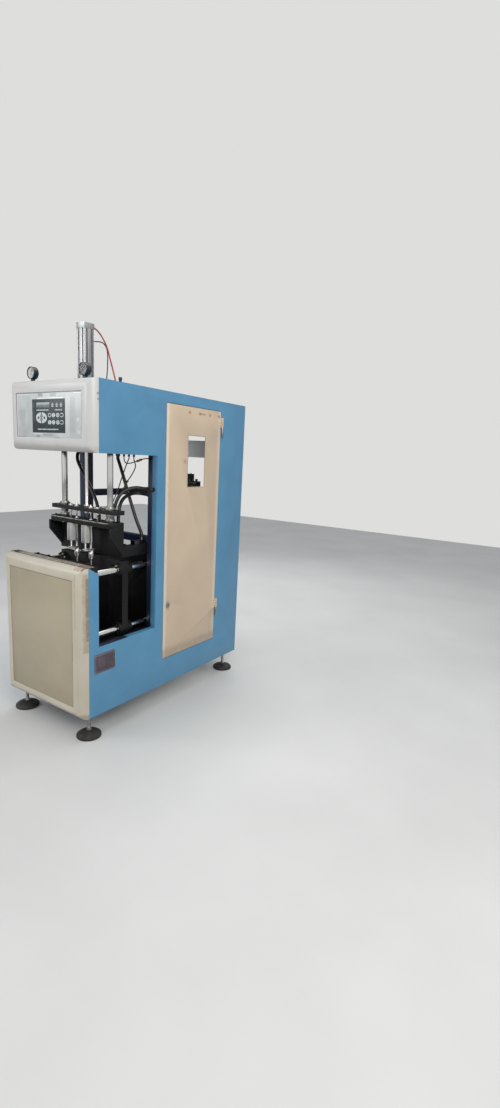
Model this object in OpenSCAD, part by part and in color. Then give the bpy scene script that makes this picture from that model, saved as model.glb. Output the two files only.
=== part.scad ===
// Two-cavity stretch blow moulding machine, free standing, with a C-shaped cabinet.
// Millimetres. X runs to the right seen from the front, Y to the back, Z up.
// The origin is on the floor, under the middle of the machine.
// Depths inside this file are measured from the front face of the base and are called u.

/* [Cabinet] */
// Width over the two side panels
body_w = 656; // [650:2:700]
// Depth from the front of the base to the back edge
body_d = 1362; // [1340:2:1480]
// Free height between the head plate and the top cover
head_room = 167; // [150:1:220]
// Free height under the cabinet
floor_gap = 127; // [110:1:140]
// Height of the overhanging head
head_h = 353; // [340:1:380]
// Distance of the head's front behind the base's front
head_setback = 70; // [50:1:80]
// Height of the base's top edge
base_top = 932; // [925:1:936]
// Height of the lower edge of the side openings
side_sill = 506; // [494:1:525]
// Distance of the column's front behind the base's front
column_u = 527; // [523:1:533]
// Width of the side strip in front of each side opening
strip_w = 65; // [50:1:70]
// Thickness of the cabinet's sheet metal
sheet = 3; // [2:0.5:3.5]
// Width of the folded edges of the side panels
lip = 38; // [36:1:46]
// Outer size of the square frame tube
tube = 40; // [36:1:42]
// Wall of the square frame tube
tube_wall = 3; // [2:0.5:4]

/* [Front surrounds] */
// Depth of the rounded front surrounds
surround_d = 50; // [48:1:50]
// Outer radius of their curved edges
surround_r = 46; // [30:1:47]
// Width of their face, from the side to the inset panel
surround_band = 64; // [60:1:80]
// Thickness of their sheet
skin = 2.5; // [2:0.5:3]
// Width of the membrane keypad
keypad_w = 264; // [220:2:300]
// Height of the membrane keypad
keypad_h = 166; // [140:2:180]

/* [Doors] */
// Distance of the door's front edge behind the base's front
door_u = 593; // [590:1:620]
// Width of the right doorway
door_w = 503; // [460:1:520]
// Height of the cabinet over the doorways' top edge
door_head = 60; // [50:2:90]
// Height of the right doorway's lower edge
door_sill = 290; // [250:2:340]
// Height of the left doorway's lower edge
left_sill = 840; // [780:2:900]
// Width of the left doorway
left_door_w = 557; // [500:1:600]
// Gap round the door
door_gap = 3; // [2:0.5:5]
// Depth of the door's folded edge
door_fold = 18; // [12:1:20]
// Width of the window cut in the door
window_w = 156; // [120:2:200]
// Height of the window cut in the door
window_h = 300; // [240:5:360]

/* [Clamp] */
// Height of the bed that carries the clamp plates
bed_top = 490; // [480:1:492]
// Thickness of the clamp plates
platen_t = 40; // [34:1:44]
// Width of the clamp plates
platen_w = 524; // [508:2:540]
// Distance between the tie bars across the machine
tie_pitch_x = 460; // [450:2:464]
// Distance between the upper and lower tie bars
tie_pitch_z = 340; // [330:2:350]
// Diameter of the tie bars
tie_d = 40; // [36:1:44]
// Clear distance between the fixed and the moving plate, as stored
daylight = 170; // [150:1:172]
// Opening stroke of the moving plate
clamp_stroke = 110; // [90:1:112]
// Bore of the clamp cylinder
clamp_bore = 200; // [160:5:210]
// Diameter of the clamp piston rod
clamp_rod_d = 50; // [40:1:60]

/* [Stretch unit] */
// Distance between the two blow nozzles
cavity_pitch = 120; // [110:2:130]
// Distance of the nozzles behind the base's front
nozzle_u = 290; // [288:1:292]
// Distance between the guide rods
guide_pitch = 380; // [370:2:390]
// Diameter of the guide rods
guide_d = 32; // [28:1:34]
// Length of the crosshead
crosshead_w = 530; // [500:2:536]
// Thickness of the crosshead
crosshead_t = 23; // [18:1:26]
// Stroke of the stretch rods
stretch_stroke = 350; // [300:5:360]
// Diameter of the stretch rods
stretch_rod_d = 8; // [6:0.5:8]
// Bore of the stretch cylinder
stretch_bore = 50; // [40:1:50]
// Side of the stretch cylinder's square section
stretch_side = 65; // [64:0.5:68]
// Diameter of the stretch piston rod
piston_rod_d = 20; // [16:1:20]
// Stroke of the blow nozzles
nozzle_stroke = 30; // [20:1:32]
// Diameter of the blow nozzles
nozzle_d = 28; // [24:1:32]

/* [Fittings] */
// Diameter of the foot pads
foot_d = 130; // [110:2:150]
// Diameter of the pressure gauges
gauge_d = 63; // [55:1:70]
// Outer diameter of the pressure hoses
hose_d = 19; // [16:0.5:19]
// Outer diameter of the thin air tubes
tubing_d = 6; // [4:0.5:6]

/* [Hidden] */
$fn = 64;

// Cabinet places
half_w = body_w / 2;
front_y = -body_d / 2;
head_u = head_setback + surround_d;
strip_u = surround_d + strip_w;
strip_top = base_top + sheet;
strip_drop = 30;
panel_in = half_w - sheet;
lip_x = half_w - lip;
lip_cover = 4;
post_x1 = lip_x + lip_cover;
post_x0 = post_x1 - tube;
base_post_u = surround_d + sheet;
column_post_u = column_u + sheet;
rear_post_u = body_d - sheet - tube;
head_post_u = head_u + 45;
bed_rail_h = 80;
beam_x1 = post_x0 - 4;
beam_x0 = beam_x1 - tube;
slip = 0.05;

// Clamp places
platen_edge = 42;
tie_x = tie_pitch_x / 2;
tie_low = bed_top + platen_edge;
tie_high = tie_low + tie_pitch_z;
tie_zs = [tie_low, tie_high];
platen_top = tie_high + platen_edge + 4;
clamp_z = (tie_low + tie_high) / 2;
platen_u = strip_u + 10;
moving_u = platen_u + platen_t + daylight;
boss_d = 72;
boss_front = 18;
boss_back = 32;
rear_u = column_post_u + tube + 10;
tie_nut_t = 30;
tray_t = 2;
platen_lift = tray_t + 4;
cap_side = clamp_bore + 30;
cap_t = 35;
clamp_wall = 6;
clamp_cyl_u = rear_u + platen_t;
clamp_tube_u0 = clamp_cyl_u + cap_t;
piston_t = 35;
clamp_tube_len = clamp_stroke + piston_t + 35;

// Stretch unit places
beam_z = platen_top + 20;
beam_h = 60;
bracket_h = 134;
bracket_t = 28;
bracket_top = beam_z + beam_h + bracket_h;
bracket_w = 2 * beam_x1 + 22;
bracket_u0 = nozzle_u - 42;
bracket_u1 = nozzle_u + 55;
guide_u = nozzle_u + 22;
guide_x = guide_pitch / 2;
crosshead_gap = 42;
crosshead_z = bracket_top + crosshead_gap;
crosshead_top = crosshead_z + crosshead_t;
crosshead_u0 = nozzle_u - 12;
crosshead_u1 = nozzle_u + 56;
bush_flange = 18;
head_rail_z = crosshead_top + stretch_stroke + bush_flange + 55;
plate_t = 20;
head_plate_z = head_rail_z + tube;
body_h = head_plate_z + plate_t + head_room + sheet;
head_z = body_h - head_h;
door_top = body_h - door_head;
guide_nut_t = 16;
stretch_cap_t = 30;
stretch_cyl_z = head_plate_z + plate_t;
stretch_cyl_len = stretch_stroke + 135;
cap_top = stretch_cyl_z + stretch_cyl_len;
stretch_piston_t = 24;
cavity_x = cavity_pitch / 2;
block_w = 32;
block_d = 30;
block_h = 97;
block_u = nozzle_u - 38;
block_z = bracket_top - bracket_t - block_h;
nozzle_h = 49;
nozzle_z = block_z - 97;
yoke_t = 12;
yoke_z = nozzle_z + nozzle_h + 1;
blow_rod_d = 18;
blow_stem_d = 13;
blow_bore_d = 9;
blow_rod_top = bracket_top + 4;
push_rod_d = 10;

// Top, cabinet and air places
keypad_x = 6;
keypad_z = head_z + 172;
gauge_x = 209;
gauge_u = head_u + 17;
gauge_z = body_h + 46;
gauge_depth = 28;
gauge_wall = 3.5;
pin_d = 2;
shelf_u0 = 850;
shelf_u1 = 1090;
knuckle_d = 12;
hinge_x = half_w + knuckle_d / 2 + 0.3;
hinge_u = door_u + door_w + 9;
hinge_zs = [door_sill + 160, door_top - 160];
hinge_h = 120;
window_u = door_u + 192;
window_z = door_top - 168 - window_h;
shelf_z = window_z - 52;
shelf_rail_z = shelf_z - tube;
lock_u = door_u + 40;
lock_z = door_sill + 330;
manifold_d = 30;
manifold_port_u = column_post_u - 18;
fitting_u = bracket_u1 + 20;
fitting_z = bracket_top - 30;
fitting_h = 12;

// Box between two corners, with its depth measured from the front face
module block(x0, x1, u0, u1, z0, z1)
    translate([x0, front_y + u0, z0]) cube([x1 - x0, u1 - u0, z1 - z0]);

// Round bar standing upright
module upright(x, u, z0, z1, d)
    translate([x, front_y + u, z0]) cylinder(h = z1 - z0, d = d);

// Round bar running from front to back
module lengthwise(x, z, u0, u1, d)
    translate([x, front_y + u0, z]) rotate([-90, 0, 0]) cylinder(h = u1 - u0, d = d);

// Round bar running across the machine
module crosswise(u, z, x0, x1, d)
    translate([x0, front_y + u, z]) rotate([0, 90, 0]) cylinder(h = x1 - x0, d = d);

// Hexagon nut or head on an upright axis, across flats af
module hex_upright(x, u, z0, t, af)
    translate([x, front_y + u, z0]) cylinder(h = t, d = af / cos(30), $fn = 6);

// The same piece on the right and on the left
module both_sides() {
    children();
    mirror([1, 0, 0]) children();
}

// Square tube along x, y or z, cut to length
module tube_x(x0, x1, u0, z0)
    difference() {
        block(x0, x1, u0, u0 + tube, z0, z0 + tube);
        block(x0 - 1, x1 + 1, u0 + tube_wall, u0 + tube - tube_wall, z0 + tube_wall, z0 + tube - tube_wall);
    }

module tube_y(x0, u0, u1, z0, w = tube, h = tube)
    difference() {
        block(x0, x0 + w, u0, u1, z0, z0 + h);
        block(x0 + tube_wall, x0 + w - tube_wall, u0 - 1, u1 + 1, z0 + tube_wall, z0 + h - tube_wall);
    }

module tube_z(x0, u0, z0, z1)
    difference() {
        block(x0, x0 + tube, u0, u0 + tube, z0, z1);
        block(x0 + tube_wall, x0 + tube - tube_wall, u0 + tube_wall, u0 + tube - tube_wall, z0 - 1, z1 + 1);
    }

// Points of a quarter circle in the plane of a side panel
function corner_arc(u, z, r) = [for (a = [0 : 15 : 90]) [u + r * cos(a), z + r * sin(a)]];

// Outline of a side panel, seen from the side
strip_arc_r = 18;
side_outline = concat(
    [[surround_d, floor_gap], [body_d, floor_gap], [body_d, body_h], [head_u, body_h],
        [head_u, head_z], [column_u, head_z], [column_u, side_sill], [strip_u, side_sill]],
    corner_arc(strip_u - strip_arc_r, strip_top - strip_drop - strip_arc_r, strip_arc_r),
    [[surround_d, strip_top]]);

// Flat side panel with a doorway and folded edges, on the right side
module side_sheet(u0, u1, z0, z1) {
    fold = 25;
    stop = 12;
    difference() {
        translate([panel_in, front_y, 0]) rotate([90, 0, 90]) linear_extrude(sheet) polygon(side_outline);
        block(panel_in - 1, half_w + 1, u0, u1, z0, z1);
    }
    // Folded edges that meet the frame and the front surrounds
    block(lip_x, panel_in, surround_d, base_post_u, floor_gap, base_top - strip_drop);
    block(lip_x, panel_in, head_u, head_u + sheet, head_z, body_h - sheet);
    block(lip_x, panel_in, column_u, column_post_u, side_sill, head_z);
    block(lip_x, panel_in, body_d - sheet, body_d, floor_gap, body_h - sheet);
    block(lip_x, panel_in, strip_u - sheet, strip_u, side_sill, base_top - 2 * strip_drop);
    block(lip_x, panel_in, strip_u - sheet, column_post_u, side_sill - sheet, side_sill);
    block(lip_x, panel_in, head_u, column_post_u, head_z, head_z + sheet);
    block(post_x1, panel_in, head_u + sheet, body_d - sheet, body_h - 2 * sheet, body_h - sheet);
    block(post_x1, panel_in, base_post_u, body_d - sheet, floor_gap, floor_gap + sheet);
    // Folded edge round the doorway, with the stop that the door closes on
    difference() {
        block(half_w - fold, panel_in, u0 - sheet, u1 + sheet, z0 - sheet, z1 + sheet);
        block(half_w - fold - 1, panel_in + 1, u0, u1, z0, z1);
    }
    difference() {
        block(half_w - fold, half_w - fold + sheet, u0 - 1, u1 + 1, z0 - 1, z1 + 1);
        block(0, half_w, u0 + stop, u1 - stop, z0 + stop, z1 - stop);
    }
}

module side_panel_right()
    color("steelblue") side_sheet(door_u, door_u + door_w, door_sill, door_top);

module side_panel_left()
    color("steelblue") mirror([1, 0, 0]) side_sheet(door_u, door_u + left_door_w, left_sill, door_top);

// Cover between the side panels, with cut-outs for the cylinder, gauges and air lines
module top_cover()
    color("steelblue") difference() {
        block(-panel_in, panel_in, head_u, body_d, body_h - sheet, body_h);
        block(-stretch_side / 2 - 3, stretch_side / 2 + 3, guide_u - stretch_side / 2 - 3,
            guide_u + stretch_side / 2 + 3, body_h - sheet - 1, body_h + 1);
        for (x = [-gauge_x, gauge_x]) upright(x, gauge_u, body_h - sheet - 1, body_h + 1, 14.6);
    }

module frame_posts()
    color("midnightblue") both_sides() {
        tube_z(post_x0, base_post_u, floor_gap, base_top);
        tube_z(post_x0, column_post_u, floor_gap, body_h - sheet);
        tube_z(post_x0, rear_post_u, floor_gap, body_h - sheet);
        tube_z(post_x0, head_post_u, head_z + sheet, body_h - sheet);
    }

// Rails from front to back: bottom, top, inside the head, under the shelf and under the clamp
module frame_side_rails()
    color("midnightblue") both_sides() {
        column_back = column_post_u + tube;
        tube_y(post_x0, base_post_u + tube, column_post_u, floor_gap);
        tube_y(post_x0, column_back, rear_post_u, floor_gap);
        tube_y(post_x0, head_post_u + tube, column_post_u, body_h - sheet - tube);
        tube_y(post_x0, column_back, rear_post_u, body_h - sheet - tube);
        tube_y(post_x0, head_post_u + tube, column_post_u, head_rail_z);
        tube_y(post_x0, column_back, rear_post_u, shelf_rail_z);
        tube_y(beam_x0, base_post_u + tube, rear_post_u, bed_top - bed_rail_h, tube, bed_rail_h);
    }

// Rails across the machine, between the posts
module frame_cross_rails()
    color("midnightblue") {
        for (u = [base_post_u, column_post_u, rear_post_u]) tube_x(-post_x0, post_x0, u, floor_gap);
        for (u = [head_post_u, column_post_u, rear_post_u])
            tube_x(-post_x0, post_x0, u, body_h - sheet - tube);
        for (u = [base_post_u, rear_post_u]) tube_x(-post_x0, post_x0, u, bed_top - bed_rail_h + 20);
        tube_x(-post_x0, post_x0, base_post_u, base_top - tube);
        tube_x(-post_x0, post_x0, column_post_u, bed_top - bed_rail_h - tube);
        tube_x(-post_x0, post_x0, column_post_u, beam_z + beam_h);
        for (u = [head_post_u, column_post_u]) tube_x(-post_x0, post_x0, u, head_z + sheet);
        tube_x(-post_x0, post_x0, rear_post_u, shelf_rail_z);
    }

// Plan outline with its two front corners rounded
module front_rounded(w, depth, r)
    intersection() {
        translate([-w, 0]) square([2 * w, depth]);
        union() {
            translate([-w, r]) square([2 * w, depth]);
            translate([-w + r, 0]) square([2 * (w - r), depth]);
            for (x = [-w + r, w - r]) translate([x, r]) circle(r);
        }
    }

// Block whose four front edges curve back to the sides, mitred where they meet
module pillow(u0, z0, z1, inset, extra)
    intersection() {
        w = half_w - inset;
        depth = surround_d - inset + extra;
        h = z1 - z0 - 2 * inset;
        translate([0, front_y + u0 + inset, z0 + inset])
            linear_extrude(h) front_rounded(w, depth, surround_r - inset);
        translate([-w, front_y + u0 + inset, (z0 + z1) / 2]) rotate([0, 90, 0])
            linear_extrude(2 * w) front_rounded(h / 2, depth, surround_r - inset);
    }

// Bent sheet surround, open at the back, with the hole for its inset panel
module surround(u0, z0, z1)
    difference() {
        pillow(u0, z0, z1, 0, 0);
        pillow(u0, z0, z1, skin, 1);
        block(-half_w + surround_band, half_w - surround_band, u0 - 1, u0 + skin + 1,
            z0 + surround_band, z1 - surround_band);
    }

// Flat panel set behind the edge of a surround's hole
module inset_panel(u0, z0, z1) {
    overlap = surround_band - 10;
    block(-half_w + overlap, half_w - overlap, u0 + skin, u0 + skin + 2, z0 + overlap, z1 - overlap);
}

module head_surround() color("gainsboro") surround(head_setback, head_z, body_h);

module head_panel() color("lightgray") inset_panel(head_setback, head_z, body_h);

module control_overlay()
    color("darkslategray")
        block(keypad_x - keypad_w / 2, keypad_x + keypad_w / 2, head_setback + skin - 0.8, head_setback + skin,
            keypad_z - keypad_h / 2, keypad_z + keypad_h / 2);

// Flat box behind the keypad that holds the controller
module control_unit()
    color("dimgray")
        block(keypad_x - keypad_w / 2 + 8, keypad_x + keypad_w / 2 - 8, head_setback + skin + 2, head_u - 4,
            keypad_z - keypad_h / 2 + 8, keypad_z + keypad_h / 2 - 8);

module base_surround() color("wheat") surround(0, floor_gap, base_top);

module base_panel() color("wheat") inset_panel(0, floor_gap, base_top);

// Narrow worn strip that caps the front of the base
module base_top_strip()
    color("tan") block(3 - panel_in, panel_in - 3, base_post_u, base_post_u + tube, base_top, strip_top);

foot_x = (post_x0 + post_x1) / 2;
foot_us = [90, body_d - 72];
pad_h = 34;

module foot_pads()
    color("black") both_sides() for (u = foot_us)
        translate([foot_x, front_y + u, 0]) rotate_extrude()
            polygon([[0, 0], [foot_d / 2, 0], [foot_d / 2, 12], [foot_d / 2 - 10, 20], [22, pad_h], [0, pad_h]]);

module foot_stems()
    color("silver") both_sides() for (u = foot_us) {
        upright(foot_x, u, pad_h, floor_gap, 16);
        hex_upright(foot_x, u, pad_h, 10, 27);
        hex_upright(foot_x, u, floor_gap - 13, 13, 24);
    }

// Bare plate riveted to the right side of the base
module name_plate() color("silver") block(half_w, half_w + 1, 84, 223, 362, 467);

// Clamp plate with the holes for the tie bars
module plate_blank(u0, z0, z1, w, hole_d)
    difference() {
        block(-w / 2, w / 2, u0, u0 + platen_t, z0, z1);
        for (x = [-tie_x, tie_x], z = tie_zs) lengthwise(x, z, u0 - 1, u0 + platen_t + 1, hole_d);
    }

mould_hole_x = 150;
mould_hole_z = 120;
mould_hole_d = 12;
mould_hole_depth = 25;

module front_platen()
    color("dimgray") difference() {
        plate_blank(platen_u, bed_top, platen_top, platen_w, tie_d + 2 * slip);
        for (x = [-mould_hole_x, mould_hole_x], z = [-mould_hole_z, mould_hole_z])
            lengthwise(x, clamp_z + z, platen_u + platen_t - mould_hole_depth, platen_u + platen_t + 1,
                mould_hole_d);
    }

module rear_platen()
    color("dimgray") difference() {
        plate_blank(rear_u, bed_top, beam_z, 2 * beam_x1, tie_d + 2 * slip);
        lengthwise(0, clamp_z, rear_u - 1, rear_u + platen_t + 1, clamp_rod_d + 4);
    }

tie_u0 = platen_u - tie_nut_t;
tie_u1 = rear_u + platen_t + tie_nut_t;

module tie_bars()
    color("silver") for (x = [-tie_x, tie_x], z = tie_zs) lengthwise(x, z, tie_u0, tie_u1, tie_d);

// Ring nut on a bar that runs from front to back
module ring_nut_y(x, z, u, t, d, hole)
    difference() {
        lengthwise(x, z, u, u + t, d);
        lengthwise(x, z, u - 1, u + t + 1, hole);
    }

// Ring nut on an upright bar
module ring_nut_z(x, u, z, t, d, hole)
    difference() {
        upright(x, u, z, z + t, d);
        upright(x, u, z - 1, z + t + 1, hole);
    }

guide_nut_d = 50;

module rod_nuts()
    color("gray") {
        for (x = [-tie_x, tie_x], z = tie_zs, u = [tie_u0, rear_u + platen_t])
            ring_nut_y(x, z, u, tie_nut_t, 62, tie_d + 2 * slip);
        for (x = [-guide_x, guide_x], z = [bracket_top, head_plate_z + plate_t])
            ring_nut_z(x, guide_u, z, guide_nut_t, guide_nut_d, guide_d + 2 * slip);
    }

// Sheet tray under the mould space
module drip_tray()
    color("black") block(2 - post_x0, post_x0 - 2, platen_u + platen_t, rear_u, bed_top, bed_top + tray_t);

// Two beams that carry the sealing bracket out over the mould space
module support_beams()
    color("black") both_sides()
        tube_y(beam_x0, bracket_u1, rear_u + platen_t, beam_z, beam_x1 - beam_x0, beam_h);

bracket_corner_r = 40;
bracket_side_t = 12;
bracket_back_t = 12;

// Outline of the bracket's end plates, seen from the side
bracket_side_outline = [[bracket_u0 + 4, bracket_top - bracket_t], [bracket_u0 + 4, bracket_top - 80],
    [bracket_u1 - 7, beam_z + 12], [bracket_u1 - 7, beam_z], [bracket_u1, beam_z],
    [bracket_u1, bracket_top - bracket_t]];

// Thick plate that holds the sealing cylinders and the guide rods
module seal_bracket()
    color("black") difference() {
        translate([0, front_y + bracket_u0, bracket_top - bracket_t]) linear_extrude(bracket_t)
            front_rounded(bracket_w / 2, bracket_u1 - bracket_u0, bracket_corner_r);
        for (x = [-guide_x, guide_x])
            upright(x, guide_u, bracket_top - bracket_t - 1, bracket_top + 1, guide_d + 2 * slip);
        for (x = [-cavity_x, cavity_x])
            upright(x, nozzle_u, bracket_top - bracket_t - 1, bracket_top + 1, blow_rod_d + 10);
    }

// Back wall and end walls under the plate, welded to the two beams
module bracket_legs()
    color("black") {
        block(-bracket_w / 2, bracket_w / 2, bracket_u1 - bracket_back_t, bracket_u1, beam_z,
            bracket_top - bracket_t);
        both_sides() translate([bracket_w / 2 - bracket_side_t, front_y, 0]) rotate([90, 0, 90])
            linear_extrude(bracket_side_t) polygon(bracket_side_outline);
    }

module head_plate()
    color("dimgray") difference() {
        block(-post_x1, post_x1, nozzle_u - 50, nozzle_u + 100, head_plate_z, head_plate_z + plate_t);
        for (x = [-guide_x, guide_x])
            upright(x, guide_u, head_plate_z - 1, head_plate_z + plate_t + 1, guide_d + 2 * slip);
        upright(0, guide_u, head_plate_z - 1, head_plate_z + plate_t + 1, piston_rod_d + 10);
    }

module guide_rods()
    color("silver") for (x = [-guide_x, guide_x])
        upright(x, guide_u, bracket_top - bracket_t, head_plate_z + plate_t + guide_nut_t, guide_d);

// Extruded cylinder section: rounded square with two slots in each side
module profile_section(side, bore) {
    slot_w = side * 0.1;
    slot_d = side * 0.085;
    r = side * 0.1;
    difference() {
        union() {
            square([side, side - 2 * r], center = true);
            square([side - 2 * r, side], center = true);
            for (x = [-1, 1], y = [-1, 1]) translate([x, y] * (side / 2 - r)) circle(r);
        }
        circle(d = bore);
        for (a = [0, 90, 180, 270], p = [-0.25, 0.25]) rotate(a)
            translate([p * side, side / 2 - slot_d / 2]) {
                square([slot_w, slot_d + 1], center = true);
                translate([0, -slot_d / 2]) circle(slot_w * 0.7);
            }
    }
}

module stretch_cylinder_tube()
    color("gainsboro")
        translate([0, front_y + guide_u, stretch_cyl_z + stretch_cap_t])
            linear_extrude(stretch_cyl_len - 2 * stretch_cap_t) profile_section(stretch_side, stretch_bore);

// End caps with their screw recesses and air ports
module stretch_cylinder_caps() {
    s = stretch_side / 2;
    top_z = stretch_cyl_z + stretch_cyl_len - stretch_cap_t;
    color("gainsboro") difference() {
        for (z = [stretch_cyl_z, top_z]) block(-s, s, guide_u - s, guide_u + s, z, z + stretch_cap_t);
        upright(0, guide_u, stretch_cyl_z - 1, stretch_cyl_z + stretch_cap_t + 1, piston_rod_d + 2 * slip);
        for (x = [-s + 8, s - 8], u = [guide_u - s + 8, guide_u + s - 8])
            upright(x, u, top_z + stretch_cap_t - 8, top_z + stretch_cap_t + 1, 10);
        lengthwise(0, top_z + 15, guide_u + s - 10, guide_u + s + 1, 12);
    }
}

// Two compact cylinders with slotted bodies that press the nozzles down
module seal_cylinders()
    color("gainsboro") difference() {
        for (x = [-cavity_x, cavity_x]) translate([x, front_y + block_u, block_z])
            linear_extrude(block_h) compact_section();
        for (x = [-cavity_x, cavity_x])
            upright(x, block_u, block_z - 1, block_z + nozzle_stroke + 25, push_rod_d + 2 * slip);
    }

// Section of the compact cylinder: flat sides with upright slots
module compact_section()
    difference() {
        square([block_w, block_d], center = true);
        for (a = [0, 90, 180, 270], p = [-8, 0, 8]) rotate(a)
            translate([p, block_w / 2 + 1]) square([2.6, 8], center = true);
    }

// Bushes in the bracket that guide the blow rods
module rod_bushes()
    color("goldenrod") for (x = [-cavity_x, cavity_x])
        ring_nut_z(x, nozzle_u, bracket_top - bracket_t, bracket_t, blow_rod_d + 10 - 2 * slip,
            blow_rod_d + 2 * slip);

module clamp_cylinder_tube()
    color("gainsboro")
        ring_nut_y(0, clamp_z, clamp_tube_u0, clamp_tube_len, clamp_bore + 2 * clamp_wall, clamp_bore);

clamp_rod_pitch = cap_side / 2 - 14;

module clamp_cylinder_caps()
    color("gray") difference() {
        for (u = [clamp_cyl_u, clamp_tube_u0 + clamp_tube_len])
            block(-cap_side / 2, cap_side / 2, u, u + cap_t, clamp_z - cap_side / 2, clamp_z + cap_side / 2);
        lengthwise(0, clamp_z, clamp_cyl_u - 1, clamp_tube_u0 + 1, clamp_rod_d + 2 * slip);
        for (x = [-1, 1], z = [-1, 1])
            lengthwise(x * clamp_rod_pitch, clamp_z + z * clamp_rod_pitch, clamp_cyl_u - 1,
                clamp_tube_u0 + clamp_tube_len + cap_t + 1, 14.2);
        crosswise(clamp_tube_u0 + clamp_tube_len + cap_t / 2, clamp_z, cap_side / 2 - 20, cap_side / 2 + 1, 20);
    }

// Tie rods of the clamp cylinder with their nuts
module clamp_cylinder_rods()
    color("silver") for (x = [-1, 1], z = [-1, 1])
        translate([x * clamp_rod_pitch, front_y, clamp_z + z * clamp_rod_pitch]) rotate([-90, 0, 0]) {
            end = clamp_tube_u0 + clamp_tube_len + cap_t;
            translate([0, 0, clamp_cyl_u]) cylinder(h = end - clamp_cyl_u + 18, d = 14);
            translate([0, 0, end]) cylinder(h = 12, d = 24 / cos(30), $fn = 6);
        }

// Round gauge case, open at the front, on its threaded stem
module gauge_case(x)
    difference() {
        union() {
            lengthwise(x, gauge_z, gauge_u - gauge_depth / 2, gauge_u + gauge_depth / 2, gauge_d);
            block(x - 8, x + 8, gauge_u - 8, gauge_u + 8, body_h + 8, gauge_z - gauge_d / 2 + 6);
            hex_upright(x, gauge_u, body_h, 8.5, 19);
            upright(x, gauge_u, body_h - 22, body_h + 4, 14);
        }
        lengthwise(x, gauge_z, gauge_u - gauge_depth / 2 - 1, gauge_u + gauge_depth / 2 - gauge_wall,
            gauge_d - 2 * gauge_wall);
    }

module gauge_cases() color("black") for (x = [-gauge_x, gauge_x]) gauge_case(x);

dial_u = gauge_u + gauge_depth / 2 - gauge_wall - 4;

// Dial plates with the fixed pin that each pointer turns on
module gauge_dials()
    color("white") for (x = [-gauge_x, gauge_x]) {
        lengthwise(x, gauge_z, dial_u, dial_u + 4, gauge_d - 2 * gauge_wall - 0.4);
        lengthwise(x, gauge_z, dial_u - 5, dial_u, pin_d);
    }

module gauge_glasses()
    color("lightcyan") for (x = [-gauge_x, gauge_x])
        lengthwise(x, gauge_z, gauge_u - gauge_depth / 2 + 2, gauge_u - gauge_depth / 2 + 4,
            gauge_d - 2 * gauge_wall - 0.4);

// Pointer at its zero stop, low on the left of the dial
module pointer(x) {
    reach = gauge_d * 0.33;
    difference() {
        translate([x, front_y + dial_u - 1.6, gauge_z]) rotate([-90, 0, 0]) linear_extrude(0.8) {
            circle(d = 7, $fn = 24);
            rotate(135) polygon([[-6, -1.6], [0, -2], [reach, -0.5], [reach, 0.5], [0, 2], [-6, 1.6]]);
        }
        lengthwise(x, gauge_z, dial_u - 6, dial_u, pin_d + 2 * slip);
    }
}

module pointer_left() color("black") pointer(-gauge_x);

module pointer_right() color("black") pointer(gauge_x);

// Shelf across the cabinet that carries the air valves
module equipment_shelf()
    color("dimgray") {
        block(-post_x1, post_x1, shelf_u0, shelf_u1, shelf_z, shelf_z + sheet);
        block(-post_x0, post_x0, shelf_u0, shelf_u0 + sheet, shelf_z - 25, shelf_z);
    }

valve_u0 = 890;
valve_pitch = 36;
valve_count = 4;
valve_x1 = post_x0 - 14;
valve_x0 = valve_x1 - 110;
valve_z = shelf_z + sheet;
block_top = valve_z + 38;
valve_top = block_top + 36;
coil_h = 44;
knob_h = 14;

// Aluminium air block with a row of ports
module valve_block()
    color("silver") difference() {
        block(valve_x0, valve_x1, valve_u0 - 6, valve_u0 + valve_count * valve_pitch, valve_z, block_top);
        for (i = [0 : valve_count - 1])
            crosswise(valve_u0 + 15 + i * valve_pitch, valve_z + 19, valve_x1 - 15, valve_x1 + 1, 14);
    }

module solenoid_valves()
    color("black") for (i = [0 : valve_count - 1]) {
        u = valve_u0 + i * valve_pitch;
        block(valve_x0 + 8, valve_x1 - 8, u, u + 30, block_top, valve_top);
        block(valve_x0 + 14, valve_x0 + 50, u + 2, u + 28, valve_top, valve_top + coil_h);
        upright(valve_x1 - 30, u + 15, valve_top, valve_top + knob_h, 16);
    }

power_h = 110;
power_z = door_top - 293;

// Closed box with the power supply, screwed to the right rear post
module power_box()
    color("slategray")
        block(20, post_x1 - 4, rear_post_u - 190, rear_post_u, power_z, power_z + power_h);

filter_z = shelf_rail_z - 100;
filter_h = 44;
filter_w = 76;
bowl_h = 98;
filter_u = rear_post_u - 27;
inlet_d = 18;
inlet_x = post_x0 - 18;

// Air filter screwed to the left rear post, with its bowl and its inlet at the back
module air_filter()
    color("dimgray") difference() {
        union() {
            block(4 - post_x1, 4 - post_x1 + filter_w, filter_u - 27, filter_u + 27, filter_z, filter_z + filter_h);
            upright(16 - foot_x, filter_u, filter_z - bowl_h, filter_z, 44);
            upright(16 - foot_x, filter_u, filter_z - bowl_h - 10, filter_z - bowl_h, 20);
        }
        lengthwise(-inlet_x, filter_z + filter_h / 2, filter_u + 9, filter_u + 28, inlet_d);
    }

// Air distribution bar on the lower cross rail of the head
manifold_u0 = column_post_u - manifold_d;
manifold_z = head_z + sheet;
manifold_x = post_x0 - 24;

module head_manifold()
    color("silver") block(-manifold_x, manifold_x, manifold_u0, column_post_u, manifold_z, manifold_z + tube);

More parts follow.
